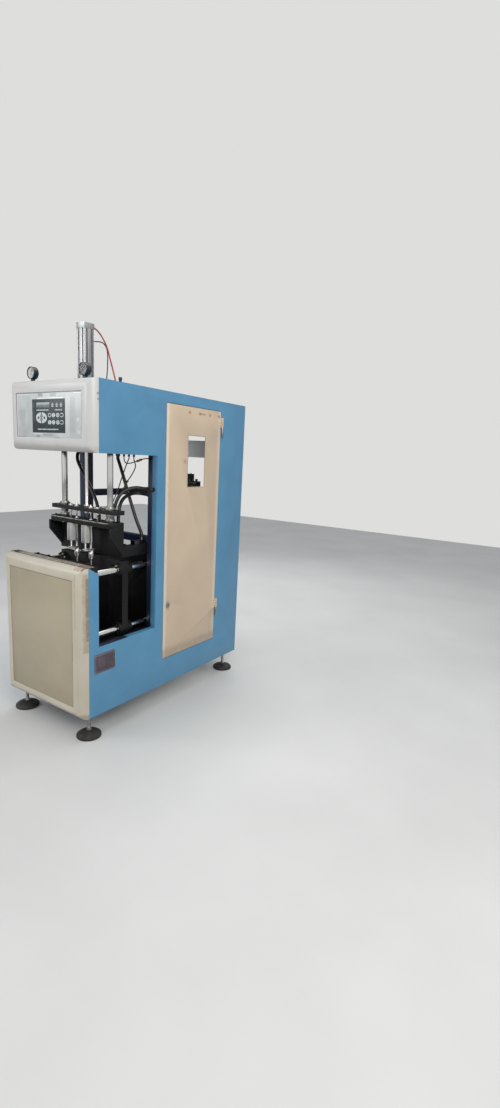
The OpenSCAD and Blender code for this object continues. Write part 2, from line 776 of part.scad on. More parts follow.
// Hose routes, with x, u and z of each point
feed_route = [[30, 512, 1484], [30, 512, 1470], [44, 512, 1440], [80, 512, 1360], [132, 512, 1240],
    [180, 512, 1135], [212, 512, 1078], [228, 510, 1052], [228, 510, 1036]];
right_route = [[278, 516, 1308], [264, 516, 1308], [240, 505, 1312], [214, 484, 1315], [190, 456, 1309],
    [173, 424, 1293], [164, 397, 1264], [158, 380, 1226], [151, 368, 1180], [148, 365, 1145], [148, 365, 1114]];
inner_route = [[236, 550, 1276], [222, 550, 1276], [198, 537, 1279], [182, 500, 1281], [172, 455, 1270],
    [172, 412, 1242], [182, 382, 1205], [194, 366, 1160], [196, 365, 1135], [196, 365, 1114]];
left_route = [[-202, 486, 1520], [-202, 470, 1520], [-200, 442, 1510], [-189, 419, 1486], [-152, 412, 1422],
    [-98, 402, 1350], [-44, 390, 1286], [10, 376, 1216], [36, 366, 1160], [40, 365, 1135], [40, 365, 1114]];
loop_route = [[80, 512, 1484], [80, 512, 1474], [90, 512, 1454], [110, 512, 1443], [145, 512, 1448],
    [200, 510, 1461], [240, 506, 1471], [260, 505, 1477], [268, 508, 1479], [270, 514, 1479], [270, 521, 1479]];
drop_route = [[160, 512, 1484], [160, 512, 1475], [176, 512, 1460], [188, 510, 1440], [178, 508, 1416],
    [150, 504, 1388], [132, 490, 1345], [116, 450, 1272], [106, 392, 1190], [104, 367, 1145],
    [104, 365, 1114]];
fine_route = [[120, 512, 1484], [120, 512, 1474], [120, 490, 1432], [122, 455, 1360], [128, 420, 1292],
    [126, 388, 1230], [124, 368, 1170], [124, 365, 1135], [124, 365, 1114]];
black_route = [[0, 356, 2086], [0, 360, 2086], [6, 367, 2086], [32, 372, 2080], [66, 374, 2066], [90, 378, 2036],
    [97, 378, 2000], [97, 376, 1940], [93, 374, 1890], [92, 373, 1866], [92, 373, 1862]];
red_route = [[13, 355, 2150], [18, 355, 2150], [36, 360, 2136], [58, 368, 2110], [84, 370, 2075],
    [104, 370, 2040], [124, 370, 1990], [146, 370, 1932], [162, 371, 1885], [166, 372, 1866],
    [166, 372, 1862]];

// Screwed hose ends, elbows and the block on the right beam
module hose_fittings()
    color("dimgray") {
        nut = hose_d + 7;
        small = tubing_d + 7;
        // Under the distribution bar and on its front
        upright(30, manifold_port_u, manifold_z - 16, manifold_z, nut);
        for (x = [80, 120, 160]) upright(x, manifold_port_u, manifold_z - 16, manifold_z, small);
        lengthwise(-202, 1520, 486, manifold_u0, nut);
        // On the flange of the right column, beside its post and on its post
        lengthwise(300, 1308, 504, column_u, nut - 2);
        crosswise(516, 1308, 278, 300, nut - 4);
        crosswise(550, 1276, 236, post_x0, nut);
        lengthwise(270, 1479, 521, column_post_u, small);
        // Elbows on the back of the sealing bracket
        for (x = [148, 196, 40]) elbow(x, nut);
        for (x = [104, 124]) elbow(x, small);
        // Block and hose end on the right beam
        block(beam_x0 + 2, beam_x1 - 4, 440, column_post_u - 2, beam_z + beam_h, beam_z + beam_h + 22);
        upright(228, 510, beam_z + beam_h + 22, beam_z + beam_h + 38, nut);
        // Ends on the top cover and on the stretch cylinder
        for (x = [92, 166]) upright(x, x == 92 ? 373 : 372, body_h, body_h + 12, small + 1);
        upright(205, 368, body_h, body_h + 30, 15);
        upright(205, 368, body_h + 30, body_h + 42, 19);
        elbow_on_cap();
        block(-4, 4, guide_u + stretch_side / 2, guide_u + stretch_side / 2 + 11.5, cap_top - 85, cap_top - 73);
    }

// Elbow on the back face of the bracket, with its port upwards
module elbow(x, d) {
    block(x - d / 2 + 1, x + d / 2 - 1, bracket_u1, fitting_u + d / 2 - 1, fitting_z - 26, fitting_z);
    upright(x, fitting_u, fitting_z, fitting_z + fitting_h, d);
}

// Elbow on the back of the stretch cylinder's upper cap, with its port to the right
module elbow_on_cap() {
    back = guide_u + stretch_side / 2;
    block(-8, 8, back, back + 18.5, cap_top - 23, cap_top - 7);
    crosswise(back + 10.5, cap_top - 15, 8, 13, 13);
}

// Vector helpers for the round hoses
function unit(v) = v / norm(v);
function along(p, i) = let (n = len(p))
    unit(i == 0 ? p[1] - p[0] : i == n - 1 ? p[n - 1] - p[n - 2] : unit(p[i + 1] - p[i]) + unit(p[i] - p[i - 1]));
// Sideways direction at each point, carried along the route so that the tube doesn't twist
function side_dirs(p, i = 0, prev = [0.31, 0.83, 0.47]) =
    i == len(p) ? [] : let (t = along(p, i), s = unit(prev - (prev * t) * t)) concat([s], side_dirs(p, i + 1, s));

// Round hose swept along a route as one closed polyhedron
module hose(route, d, sides) {
    p = [for (q = route) [q[0], front_y + q[1], q[2]]];
    s = side_dirs(p);
    n = len(p);
    rings = [for (i = [0 : n - 1], k = [0 : sides - 1])
        let (t = along(p, i), a = 360 * k / sides) p[i] + d / 2 * (cos(a) * s[i] + sin(a) * cross(t, s[i]))];
    walls = [for (i = [0 : n - 2], k = [0 : sides - 1])
        let (a = i * sides + k, b = i * sides + (k + 1) % sides) [a, a + sides, b + sides, b]];
    polyhedron(rings, concat([[for (k = [0 : sides - 1]) k]], walls,
        [[for (k = [sides - 1 : -1 : 0]) (n - 1) * sides + k]]), convexity = 6);
}

module air_hoses()
    color("black") for (r = [feed_route, right_route, inner_route, left_route]) hose(r, hose_d, 10);

module thin_tubes()
    color("black") for (r = [loop_route, drop_route, fine_route, black_route]) hose(r, tubing_d, 8);

module red_tube() color("crimson") hose(red_route, 8, 8);

// Fixed hinge halves with their pins, screwed to the side panels behind each doorway
module hinge_leaf(u)
    for (z = hinge_zs) {
        block(half_w, half_w + 2.5, u, u + 22, z, z + hinge_h / 2 - 0.3);
        upright(hinge_x, u, z, z + hinge_h / 2 - 0.3, knuckle_d);
        upright(hinge_x, u, z + hinge_h / 2 - 0.3, z + hinge_h - 8, 6);
    }

module hinge_leaves()
    color("gray") {
        hinge_leaf(hinge_u);
        mirror([1, 0, 0]) hinge_leaf(door_u + left_door_w + 9);
    }

// Flat crosshead with its bores for the guide bushes, the rods and the screws
stop_x = 113;
stop_d = 12;

module crosshead()
    color("black") difference() {
        block(-crosshead_w / 2, crosshead_w / 2, crosshead_u0, crosshead_u1, crosshead_z, crosshead_top);
        for (x = [-guide_x, guide_x])
            upright(x, guide_u, crosshead_z - 1, crosshead_top + 1, guide_d + 12 + 2 * slip);
        for (x = [-cavity_x, cavity_x])
            upright(x, nozzle_u, crosshead_z - 1, crosshead_top + 1, stretch_rod_d + 2 * slip);
        upright(0, guide_u, crosshead_z - 1, crosshead_top + 1, piston_rod_d - 4 + 2 * slip);
        for (x = [-stop_x, stop_x])
            upright(x, nozzle_u, crosshead_z - 1, crosshead_top + 1, stop_d + 2 * slip);
    }

// Flanged bronze bushes that run on the guide rods
module crosshead_bushes()
    color("goldenrod") for (x = [-guide_x, guide_x]) difference() {
        union() {
            upright(x, guide_u, crosshead_z - 16, crosshead_top, guide_d + 12);
            upright(x, guide_u, crosshead_top, crosshead_top + bush_flange - 6, guide_d + 26);
            upright(x, guide_u, crosshead_top, crosshead_top + bush_flange, guide_d + 10);
        }
        upright(x, guide_u, crosshead_z - 17, crosshead_top + bush_flange + 1, guide_d + 2 * slip);
    }

// Piston rod of the stretch cylinder, with its piston, shoulder, stud and nut
module piston_rod()
    color("silver") {
        piston_z = stretch_cyl_z + stretch_cap_t + 8;
        upright(0, guide_u, crosshead_top, piston_z + 1, piston_rod_d);
        upright(0, guide_u, piston_z, piston_z + stretch_piston_t, stretch_bore - 2 * slip);
        upright(0, guide_u, crosshead_z - 22, crosshead_top, piston_rod_d - 4);
        hex_upright(0, guide_u, crosshead_z - 14, 14, 24);
        hex_upright(0, guide_u, crosshead_top, 12, 30);
    }

// Stretch rods with their clamp nuts, and the two stop screws of the crosshead
module stretch_rods()
    color("silver") {
        tip_z = nozzle_z + 15 - stretch_stroke;
        for (x = [-cavity_x, cavity_x]) {
            upright(x, nozzle_u, tip_z + stretch_rod_d / 2, crosshead_top + 18, stretch_rod_d);
            translate([x, front_y + nozzle_u, tip_z + stretch_rod_d / 2]) sphere(d = stretch_rod_d);
            hex_upright(x, nozzle_u, crosshead_top, 10, 19);
            upright(x, nozzle_u, crosshead_z - 6, crosshead_z, 18);
        }
        for (x = [-stop_x, stop_x]) {
            upright(x, nozzle_u, bracket_top + 0.3, crosshead_top + 1, stop_d);
            hex_upright(x, nozzle_u, crosshead_top, 8, 19);
            hex_upright(x, nozzle_u, crosshead_z - 10, 10, 19);
        }
    }

// Hollow blow rod with its nozzle and the yoke to the sealing cylinder
module blow_nozzle(x) {
    difference() {
        union() {
            upright(x, nozzle_u, block_z, blow_rod_top, blow_rod_d);
            upright(x, nozzle_u, nozzle_z + nozzle_h, block_z + 1, blow_stem_d);
            block(x - 12, x + 12, block_u - 12, nozzle_u + 12, yoke_z, yoke_z + yoke_t);
            upright(x, block_u, yoke_z + yoke_t, block_z + 20, push_rod_d);
            upright(x, nozzle_u, nozzle_z + 10, nozzle_z + 34, nozzle_d);
            hex_upright(x, nozzle_u, nozzle_z + 34, nozzle_h - 34 + 1, nozzle_d - 4);
            translate([x, front_y + nozzle_u, nozzle_z]) cylinder(h = 10, d1 = nozzle_d - 8, d2 = nozzle_d - 4);
        }
        upright(x, nozzle_u, nozzle_z - 1, blow_rod_top + 1, blow_bore_d);
    }
}

module blow_nozzle_left() color("silver") blow_nozzle(-cavity_x);

module blow_nozzle_right() color("silver") blow_nozzle(cavity_x);

// Moving clamp plate with a long boss round each tie bar
module moving_platen()
    color("dimgray") difference() {
        union() {
            block(-platen_w / 2, platen_w / 2, moving_u, moving_u + platen_t, bed_top + platen_lift, platen_top);
            for (x = [-tie_x, tie_x], z = tie_zs)
                lengthwise(x, z, moving_u - boss_front, moving_u + platen_t + boss_back, boss_d);
        }
        for (x = [-tie_x, tie_x], z = tie_zs)
            lengthwise(x, z, moving_u - boss_front - 1, moving_u + platen_t + boss_back + 1, tie_d + 12 + 2 * slip);
        for (x = [-mould_hole_x, mould_hole_x], z = [-mould_hole_z, mould_hole_z])
            lengthwise(x, clamp_z + z, moving_u - 1, moving_u + mould_hole_depth, mould_hole_d);
    }

module platen_bushes()
    color("goldenrod") for (x = [-tie_x, tie_x], z = tie_zs)
        ring_nut_y(x, z, moving_u - boss_front, platen_t + boss_front + boss_back, tie_d + 12,
            tie_d + 2 * slip);

// Clamp piston rod with its piston and the flange on the moving plate
module clamp_rod()
    color("silver") {
        lengthwise(0, clamp_z, moving_u + platen_t, clamp_tube_u0 + 6, clamp_rod_d);
        lengthwise(0, clamp_z, moving_u + platen_t, moving_u + platen_t + 22, clamp_rod_d + 60);
        lengthwise(0, clamp_z, clamp_tube_u0 + 5, clamp_tube_u0 + 5 + piston_t, clamp_bore - 2 * slip);
    }

// Door: a shallow tray of sheet with a window cut in it, and its two hinge halves
door_sheet = 2;

module door() {
    u0 = door_u + door_gap;
    u1 = door_u + door_w - door_gap;
    z0 = door_sill + door_gap;
    z1 = door_top - door_gap;
    color("burlywood") {
        difference() {
            block(half_w - door_fold, half_w, u0, u1, z0, z1);
            block(half_w - door_fold - 1, half_w - door_sheet, u0 + door_sheet, u1 - door_sheet,
                z0 + door_sheet, z1 - door_sheet);
            block(half_w - door_fold, half_w + 1, window_u, window_u + window_w, window_z, window_z + window_h);
            crosswise(lock_u, lock_z, half_w - door_sheet - 1, half_w + 1, 22);
        }
        for (z = hinge_zs) {
            block(half_w, half_w + 2.5, hinge_u - 34, u1, z + hinge_h / 2, z + hinge_h);
            block(half_w + 1, half_w + 2.5, u1 - 1, hinge_u - 3, z + hinge_h / 2, z + hinge_h);
            difference() {
                upright(hinge_x, hinge_u, z + hinge_h / 2, z + hinge_h, knuckle_d);
                upright(hinge_x, hinge_u, z + hinge_h / 2 - 1, z + hinge_h - 7, 6 + 2 * slip);
            }
        }
    }
}

// Quarter-turn lock of the door; its cam swings behind the doorway's folded stop
module door_lock()
    color("silver") {
        block(half_w - 31, half_w - 27, lock_u - 8, lock_u + 8, lock_z - 8, lock_z + 34);
        crosswise(lock_u, lock_z, half_w - door_sheet, half_w, 22 - 2 * slip);
        crosswise(lock_u, lock_z, half_w, half_w + 3, 28);
        crosswise(lock_u, lock_z, half_w - 28, half_w - door_sheet, 14);
    }

side_panel_right();
side_panel_left();
top_cover();
frame_posts();
frame_side_rails();
frame_cross_rails();
head_surround();
head_panel();
control_overlay();
control_unit();
base_surround();
base_panel();
base_top_strip();
foot_pads();
foot_stems();
name_plate();
front_platen();
rear_platen();
tie_bars();
rod_nuts();
drip_tray();
support_beams();
seal_bracket();
bracket_legs();
head_plate();
guide_rods();
stretch_cylinder_tube();
stretch_cylinder_caps();
seal_cylinders();
rod_bushes();
clamp_cylinder_tube();
clamp_cylinder_caps();
clamp_cylinder_rods();
gauge_cases();
gauge_dials();
gauge_glasses();
equipment_shelf();
valve_block();
solenoid_valves();
power_box();
air_filter();
head_manifold();
hose_fittings();
air_hoses();
thin_tubes();
red_tube();
hinge_leaves();
crosshead();
crosshead_bushes();
piston_rod();
stretch_rods();
blow_nozzle_left();
blow_nozzle_right();
moving_platen();
platen_bushes();
clamp_rod();
door();
door_lock();
pointer_left();
pointer_right();
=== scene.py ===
import math
import bmesh
import bpy
from functools import partial
from mathutils import Matrix, Vector


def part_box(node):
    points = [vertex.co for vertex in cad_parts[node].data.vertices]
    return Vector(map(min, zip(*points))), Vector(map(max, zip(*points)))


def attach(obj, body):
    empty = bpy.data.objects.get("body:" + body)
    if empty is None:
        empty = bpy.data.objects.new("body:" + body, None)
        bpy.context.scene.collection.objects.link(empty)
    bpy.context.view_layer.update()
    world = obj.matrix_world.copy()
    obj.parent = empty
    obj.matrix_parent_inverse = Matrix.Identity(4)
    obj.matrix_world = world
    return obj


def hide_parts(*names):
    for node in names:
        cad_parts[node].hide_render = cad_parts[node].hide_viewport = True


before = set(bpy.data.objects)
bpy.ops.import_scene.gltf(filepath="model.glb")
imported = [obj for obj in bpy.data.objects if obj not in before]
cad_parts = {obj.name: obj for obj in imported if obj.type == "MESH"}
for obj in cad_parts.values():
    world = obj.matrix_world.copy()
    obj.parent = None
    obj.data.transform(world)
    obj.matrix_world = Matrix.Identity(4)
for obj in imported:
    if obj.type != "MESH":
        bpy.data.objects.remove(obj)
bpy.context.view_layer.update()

# Camera and room. A pale workshop floor under soft lamps. The camera stands where the
# photographer stood: to the right of the machine, chest high, looking down a little.
yaw, pitch, roll = math.radians(33.026), math.radians(-10.467), math.radians(2.848)
camera_place = (2.351, -2.285, 1.5074)
focal_pixels, photo_height, sensor = 516.332, 1108.0, 36.0
floor_reach = 9


def placed(name, data):
    """A new object in the scene for a mesh, a lamp or a lens."""
    obj = bpy.data.objects.new(name, data)
    bpy.context.scene.collection.objects.link(obj)
    return obj


aim = Matrix.Rotation(yaw, 3, "Z") @ Matrix.Rotation(pitch, 3, "X")
ahead, right, above = aim @ Vector((0, 1, 0)), aim @ Vector((1, 0, 0)), aim @ Vector((0, 0, 1))
cam_right = math.cos(roll) * right + math.sin(roll) * above
cam_up = math.cos(roll) * above - math.sin(roll) * right
lens = bpy.data.cameras.new("camera")
lens.sensor_fit = "AUTO"
lens.sensor_width = sensor
lens.lens = focal_pixels * sensor / photo_height
lens.clip_start = 0.05
camera = placed("camera", lens)
camera.matrix_world = Matrix.Translation(camera_place) @ Matrix(
    (cam_right, cam_up, -ahead)).transposed().to_4x4()
bpy.context.scene.camera = camera
bpy.context.scene.view_settings.view_transform = "Standard"


def linear(red, green, blue):
    """A colour as a paint chart gives it, 0 to 255, as the shader wants it."""
    return tuple(c / 12.92 if c <= 0.04045 else ((c + 0.055) / 1.055) ** 2.4
                 for c in (red / 255, green / 255, blue / 255)) + (1.0,)


def step(tree, kind, inputs=None, **settings):
    """Adds a node. Each input is a value, an output, or a node for its first output."""
    node = tree.nodes.new(kind)
    for name, value in settings.items():
        setattr(node, name, value)
    for name, value in (inputs or {}).items():
        if isinstance(value, bpy.types.Node):
            value = value.outputs[0]
        if isinstance(value, bpy.types.NodeSocket):
            tree.links.new(value, node.inputs[name])
        else:
            node.inputs[name].default_value = value
    return node


def math_step(tree, operation, one, two=0.0, three=0.0):
    inputs = {0: one, 1: two, 2: three}
    return step(tree, "ShaderNodeMath", inputs, operation=operation).outputs[0]


def vector_step(tree, operation, one, two=(0, 0, 0)):
    return step(tree, "ShaderNodeVectorMath", {0: one, 1: two}, operation=operation).outputs


def remap(tree, value, low, high, first=0.0, last=1.0):
    """Stretches the span from low to high over the span from first to last."""
    return step(tree, "ShaderNodeMapRange", {
        "Value": value, "From Min": low, "From Max": high, "To Min": first, "To Max": last,
    }).outputs["Result"]


def noise(tree, where, scale, detail=5.0, roughness=0.5, distortion=0.0):
    return step(tree, "ShaderNodeTexNoise", {
        "Vector": where, "Scale": scale, "Detail": detail, "Roughness": roughness,
        "Distortion": distortion}).outputs["Fac"]


def ramp(tree, factor, low, high, dark, light):
    """Two colours with a slow change between the places low and high."""
    node = step(tree, "ShaderNodeValToRGB", {"Fac": factor})
    for element, place, colour in zip(node.color_ramp.elements, (low, high), (dark, light)):
        element.position = place
        element.color = linear(*colour)
    return node.outputs["Color"]


def new_material(name, **values):
    """A node material with its surface shader and the object's own coordinates."""
    material = bpy.data.materials.new(name)
    material.use_nodes = True
    tree = material.node_tree
    tree.nodes.clear()
    shader = step(tree, "ShaderNodeBsdfPrincipled",
                  {title.replace("_", " "): value for title, value in values.items()})
    step(tree, "ShaderNodeOutputMaterial", {"Surface": shader})
    where = step(tree, "ShaderNodeTexCoord").outputs["Object"]
    return material, tree, shader, where


def mottled(name, dark, light, scale, roughness, low=0.35, high=0.65, detail=5.0):
    """A plain material that changes slowly between two tones."""
    material, tree, shader, where = new_material(name, Roughness=roughness)
    tone = ramp(tree, noise(tree, where, scale, detail), low, high, dark, light)
    tree.links.new(tone, shader.inputs["Base Color"])
    return material


floor_mesh = bpy.data.meshes.new("floor")
floor_mesh.from_pydata([(x * floor_reach, y * floor_reach, 0)
                        for x, y in ((-1, -1), (1, -1), (1, 1), (-1, 1))], [], [(0, 1, 2, 3)])
floor = placed("floor", floor_mesh)
floor.data.materials.append(
    mottled("pale_floor", (203, 203, 201), (212, 212, 210), 1.2, 0.75, 0.3, 0.7))

world = bpy.data.worlds.new("room")
bpy.context.scene.world = world
world.use_nodes = True
tree = world.node_tree
tree.nodes.clear()
rays = step(tree, "ShaderNodeLightPath").outputs
seen = math_step(tree, "MAXIMUM", rays["Is Camera Ray"], rays["Is Transmission Ray"])
glow = partial(step, tree, "ShaderNodeBackground")
soft_light = glow({"Color": (0.93, 0.96, 1.0, 1), "Strength": 0.55})
backdrop = glow({"Color": linear(222, 222, 220), "Strength": 1.0})
# polished parts mirror a hall that is bright towards the windows and dim behind the machine
way = step(tree, "ShaderNodeTexCoord").outputs["Generated"]
to_windows = vector_step(tree, "DOT_PRODUCT", way, (0.66, -0.62, 0.30))["Value"]
hall_light = ramp(tree, remap(tree, to_windows, -0.85, 0.25), 0.0, 1.0,
                  (84, 84, 86), (240, 240, 238))
hall = glow({"Color": hall_light, "Strength": 1.0})
mix = partial(step, tree, "ShaderNodeMixShader")
room = mix({"Fac": rays["Is Glossy Ray"], 1: soft_light, 2: hall})
choose = mix({"Fac": seen, 1: room, 2: backdrop})
step(tree, "ShaderNodeOutputWorld", {"Surface": choose})

lit_point = Vector((0.1, 0.0, 1.0))
for name, place, size, power, colour in (
        ("lamp_right", (3.6, -2.2, 3.4), 2.6, 95, (1.0, 0.97, 0.93)),
        ("lamp_left", (-2.6, -3.6, 3.2), 2.4, 60, (0.95, 0.97, 1.0)),
        ("lamp_top", (0.4, 0.6, 4.6), 3.2, 55, (1.0, 1.0, 1.0)),
        ("lamp_back", (-1.5, 3.8, 3.0), 2.2, 40, (0.96, 0.98, 1.0))):
    lamp = bpy.data.lights.new(name, "AREA")
    lamp.shape = "DISK"
    lamp.size = size
    lamp.energy = power
    lamp.color = colour
    turn = (lit_point - Vector(place)).to_track_quat("-Z", "Y")
    placed(name, lamp).matrix_world = Matrix.Translation(place) @ turn.to_matrix().to_4x4()

# Hoses and air tubes. Black rubber pressure hoses, thin plastic air tubes and one red
# tube. Each is screwed into a fitting at both ends, so its length is fixed.
FRONT = -0.681


def in_metres(places):
    """Places given in mm as (x, distance from the machine's front, z)."""
    return [Vector((x / 1000, FRONT + u / 1000, z / 1000)) for x, u, z in places]


def piece(name, mesh, material, body):
    """A finished piece in the shared frame that rides on a body."""
    obj = placed(name, mesh)
    mesh.materials.clear()
    mesh.materials.append(material)
    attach(obj, body)
    return obj


def smooth_path(route, steps=6):
    """Curve through the route's points, which are given in mm."""
    points = in_metres(route)
    path = []
    for i in range(len(points) - 1):
        a = points[i - 1] if i else points[0] * 2 - points[1]
        b, c = points[i], points[i + 1]
        d = points[i + 2] if i + 2 < len(points) else points[-1] * 2 - points[-2]
        for k in range(steps):
            t = k / steps
            path.append(0.5 * ((2 * b) + (c - a) * t + (2 * a - 5 * b + 4 * c - d) * t * t
                               + (3 * b - a - 3 * c + d) * t ** 3))
    path.append(points[-1])
    return path


def mesh_of(work, name):
    """Turns what was built up in work into a mesh."""
    mesh = bpy.data.meshes.new(name)
    work.to_mesh(mesh)
    work.free()
    return mesh


def tube_mesh(name, path, radii, sides):
    """Closed round tube along a path, with a radius for each of its points."""
    work = bmesh.new()
    sideways = Vector((0.31, 0.83, 0.47))
    rings = []
    for i, (p, radius) in enumerate(zip(path, radii)):
        along = (path[min(i + 1, len(path) - 1)] - path[max(i - 1, 0)]).normalized()
        sideways = (sideways - along * sideways.dot(along)).normalized()
        other = along.cross(sideways)
        rings.append([work.verts.new(p + radius * (math.cos(2 * math.pi * k / sides) * sideways
                                                   + math.sin(2 * math.pi * k / sides) * other))
                      for k in range(sides)])
    for one, two in zip(rings, rings[1:]):
        for k in range(sides):
            after = (k + 1) % sides
            work.faces.new((one[k], one[after], two[after], two[k])).smooth = True
    work.faces.new(list(reversed(rings[0])))
    work.faces.new(rings[-1])
    bmesh.ops.recalc_face_normals(work, faces=work.faces)
    return mesh_of(work, name)


def hose_wall(name, dark, light, roughness):
    """Rubber or plastic wall with a dull bloom on it."""
    return mottled(name, dark, light, 25.0, roughness, high=0.7, detail=6.0)


# width, wall, the plain solid that it replaces, record slot and number of sides
pressure_hose = (0.019, hose_wall("rubber_hose", (18, 18, 20), (36, 35, 36), 0.36),
                 "air_hoses", "hose_rubber", 20)
thin_tube = (0.006, hose_wall("plastic_tube", (28, 28, 31), (44, 44, 47), 0.3),
             "thin_tubes", "tube_plastic", 12)
red_tube = (0.008, hose_wall("red_plastic", (128, 24, 28), (176, 52, 56), 0.3),
            "red_tube", "red_plastic", 14)
hoses = (
    ("feed_hose", pressure_hose, [
        (30, 512, 1484), (30, 512, 1470), (44, 512, 1440), (80, 512, 1360), (132, 512, 1240),
        (180, 512, 1135), (212, 512, 1078), (228, 510, 1052), (228, 510, 1036)]),
    ("right_hose", pressure_hose, [
        (278, 516, 1308), (264, 516, 1308), (240, 505, 1312), (214, 484, 1315), (190, 456, 1309),
        (173, 424, 1293), (164, 397, 1264), (158, 380, 1226), (151, 368, 1180), (148, 365, 1145),
        (148, 365, 1114)]),
    ("inner_hose", pressure_hose, [
        (236, 550, 1276), (222, 550, 1276), (203, 545, 1278), (184, 533, 1280), (171, 514, 1280),
        (164, 490, 1276), (163, 455, 1265), (168, 420, 1245), (178, 391, 1212), (190, 371, 1165),
        (196, 365, 1135), (196, 365, 1114)]),
    ("left_hose", pressure_hose, [
        (-202, 486, 1520), (-202, 472, 1520), (-201, 434, 1510), (-195, 407, 1482),
        (-180, 397, 1444), (-150, 394, 1405), (-98, 390, 1345), (-44, 384, 1285), (6, 375, 1220),
        (32, 367, 1166), (40, 365, 1135), (40, 365, 1114)]),
    ("loop_tube", thin_tube, [
        (80, 512, 1484), (80, 512, 1474), (83, 512, 1461), (92, 511, 1451), (106, 509, 1446),
        (142, 501, 1448), (190, 491, 1457), (222, 487, 1465), (246, 489, 1473), (259, 494, 1477),
        (267, 502, 1479), (270, 512, 1479), (270, 521, 1479)]),
    ("drop_tube", thin_tube, [
        (160, 512, 1484), (160, 512, 1474), (166, 512, 1456), (174, 511, 1440), (173, 509, 1422),
        (160, 506, 1396), (144, 499, 1368), (132, 490, 1345), (116, 450, 1272), (106, 392, 1190),
        (104, 367, 1145), (104, 365, 1114)]),
    ("fine_tube", thin_tube, [
        (120, 512, 1484), (120, 512, 1474), (120, 490, 1432), (122, 455, 1360), (128, 420, 1292),
        (126, 388, 1230), (124, 368, 1170), (124, 365, 1135), (124, 365, 1114)]),
    ("black_tube", thin_tube, [
        (0, 356, 2086), (0, 362, 2086), (3, 373, 2086), (12, 382, 2086), (25, 386, 2085),
        (46, 387, 2079), (67, 386, 2065), (83, 384, 2045), (92, 381, 2021), (96, 379, 1995),
        (97, 376, 1940), (93, 374, 1890), (92, 373, 1866), (92, 373, 1862)]),
    ("red_air_tube", red_tube, [
        (13, 355, 2150), (18, 355, 2150), (36, 360, 2136), (58, 368, 2110), (84, 370, 2075),
        (104, 370, 2040), (124, 370, 1990), (146, 370, 1932), (162, 371, 1885), (166, 372, 1866),
        (166, 372, 1862)]))
for name, (width, wall, node, slot_name, sides), route in hoses:
    path = smooth_path(route)
    mesh = tube_mesh(name, path, [width / 2] * len(path), sides)
    tube = piece(name, mesh, wall, "machine")
    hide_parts(node)

# Tape and tie on the tubes: khaki cloth tape wound round the looped tube, and a black
# nylon tie on the tube that drops to the sealing cylinders.
khaki = mottled("khaki_tape", (96, 84, 56), (142, 128, 92), 140.0, 0.7)
taped = smooth_path([(208, 488.8, 1461.5), (217, 487.6, 1463.6), (226, 487.0, 1466),
                     (236, 487.4, 1469.6), (246, 489.0, 1473)], 8)
windings = [0.0056 + 0.0009 * math.sin(i * 1.9) for i in range(len(taped))]
piece("tube_tape", tube_mesh("tube_tape", taped, windings, 14), khaki, "machine")

nylon = mottled("nylon_tie", (40, 39, 38), (64, 62, 60), 90.0, 0.5)
tied = smooth_path([(133.6, 491.4, 1350), (132.0, 490, 1345), (130.4, 486.8, 1338)], 4)
swell = [0.0052, 0.0058, 0.0062, 0.0064, 0.0064, 0.0062, 0.0058, 0.0054, 0.0050]
piece("tube_tie", tube_mesh("tube_tie", tied, swell, 14), nylon, "machine")

# Blue sheet metal. The two side panels and the top cover are 3 mm steel sheet, folded at
# the edges and sprayed light blue. The side panels' inner faces and the left front lip
# are coloured dark blue as painted shade.
SHEET_INSIDE, LIP_START, HAIRLINE = 0.3255, 0.288, 0.0004


def over(tree, below, colour, mask):
    """Lays a colour over what is below wherever the mask is 1."""
    return step(tree, "ShaderNodeMix", {"Factor": mask, "A": below, "B": linear(*colour)},
                data_type="RGBA").outputs["Result"]


def bump_from(tree, shader, height, strength, distance):
    relief = step(tree, "ShaderNodeBump", {"Strength": strength, "Distance": distance,
                                           "Height": height})
    tree.links.new(relief.outputs["Normal"], shader.inputs["Normal"])


def wear_on_edges(tree, where, start):
    """Mask that is 1 on chipped outer edges: a rounded normal that leaves the flat one."""
    rounded_off = step(tree, "ShaderNodeBevel", {"Radius": 0.002}, samples=4).outputs["Normal"]
    flat = step(tree, "ShaderNodeNewGeometry").outputs["Normal"]
    likeness = vector_step(tree, "DOT_PRODUCT", rounded_off, flat)["Value"]
    turned = math_step(tree, "SUBTRACT", 1.0, likeness)
    spread = math_step(tree, "MULTIPLY", turned, noise(tree, where, 38.0, 6.0, 0.7))
    return remap(tree, spread, start, start + 0.05)


def patch(tree, where, low, high, soft, ragged=0.0, scale=60.0):
    """Mask that is 1 in a box of the object and fades over soft metres, its edge torn by noise."""
    middle = [(a + b) / 2 for a, b in zip(low, high)]
    half = [(b - a) / 2 for a, b in zip(low, high)]
    offset = vector_step(tree, "SUBTRACT", where, middle)[0]
    past = vector_step(tree, "SUBTRACT", vector_step(tree, "ABSOLUTE", offset)[0], half)[0]
    outside = vector_step(tree, "MAXIMUM", past)[0]
    reach = vector_step(tree, "LENGTH", outside)["Value"]
    if ragged:
        tears = noise(tree, where, scale, 6.0, 0.6)
        reach = math_step(tree, "MULTIPLY_ADD", tears, 6 * ragged, reach)
    return remap(tree, reach, 3 * ragged, 3 * ragged + soft, 1.0, 0.0)


def worn_places(tree, where, colour, marks):
    """Lays worn or dirty places, painted shade and painted highlights over a colour: low and high
    corner, tint, strength, edge.
    """
    for low, high, tint, strength, *edge in marks:
        mask = math_step(tree, "MULTIPLY", patch(tree, where, low, high, *edge), strength)
        colour = over(tree, colour, tint, mask)
    return colour


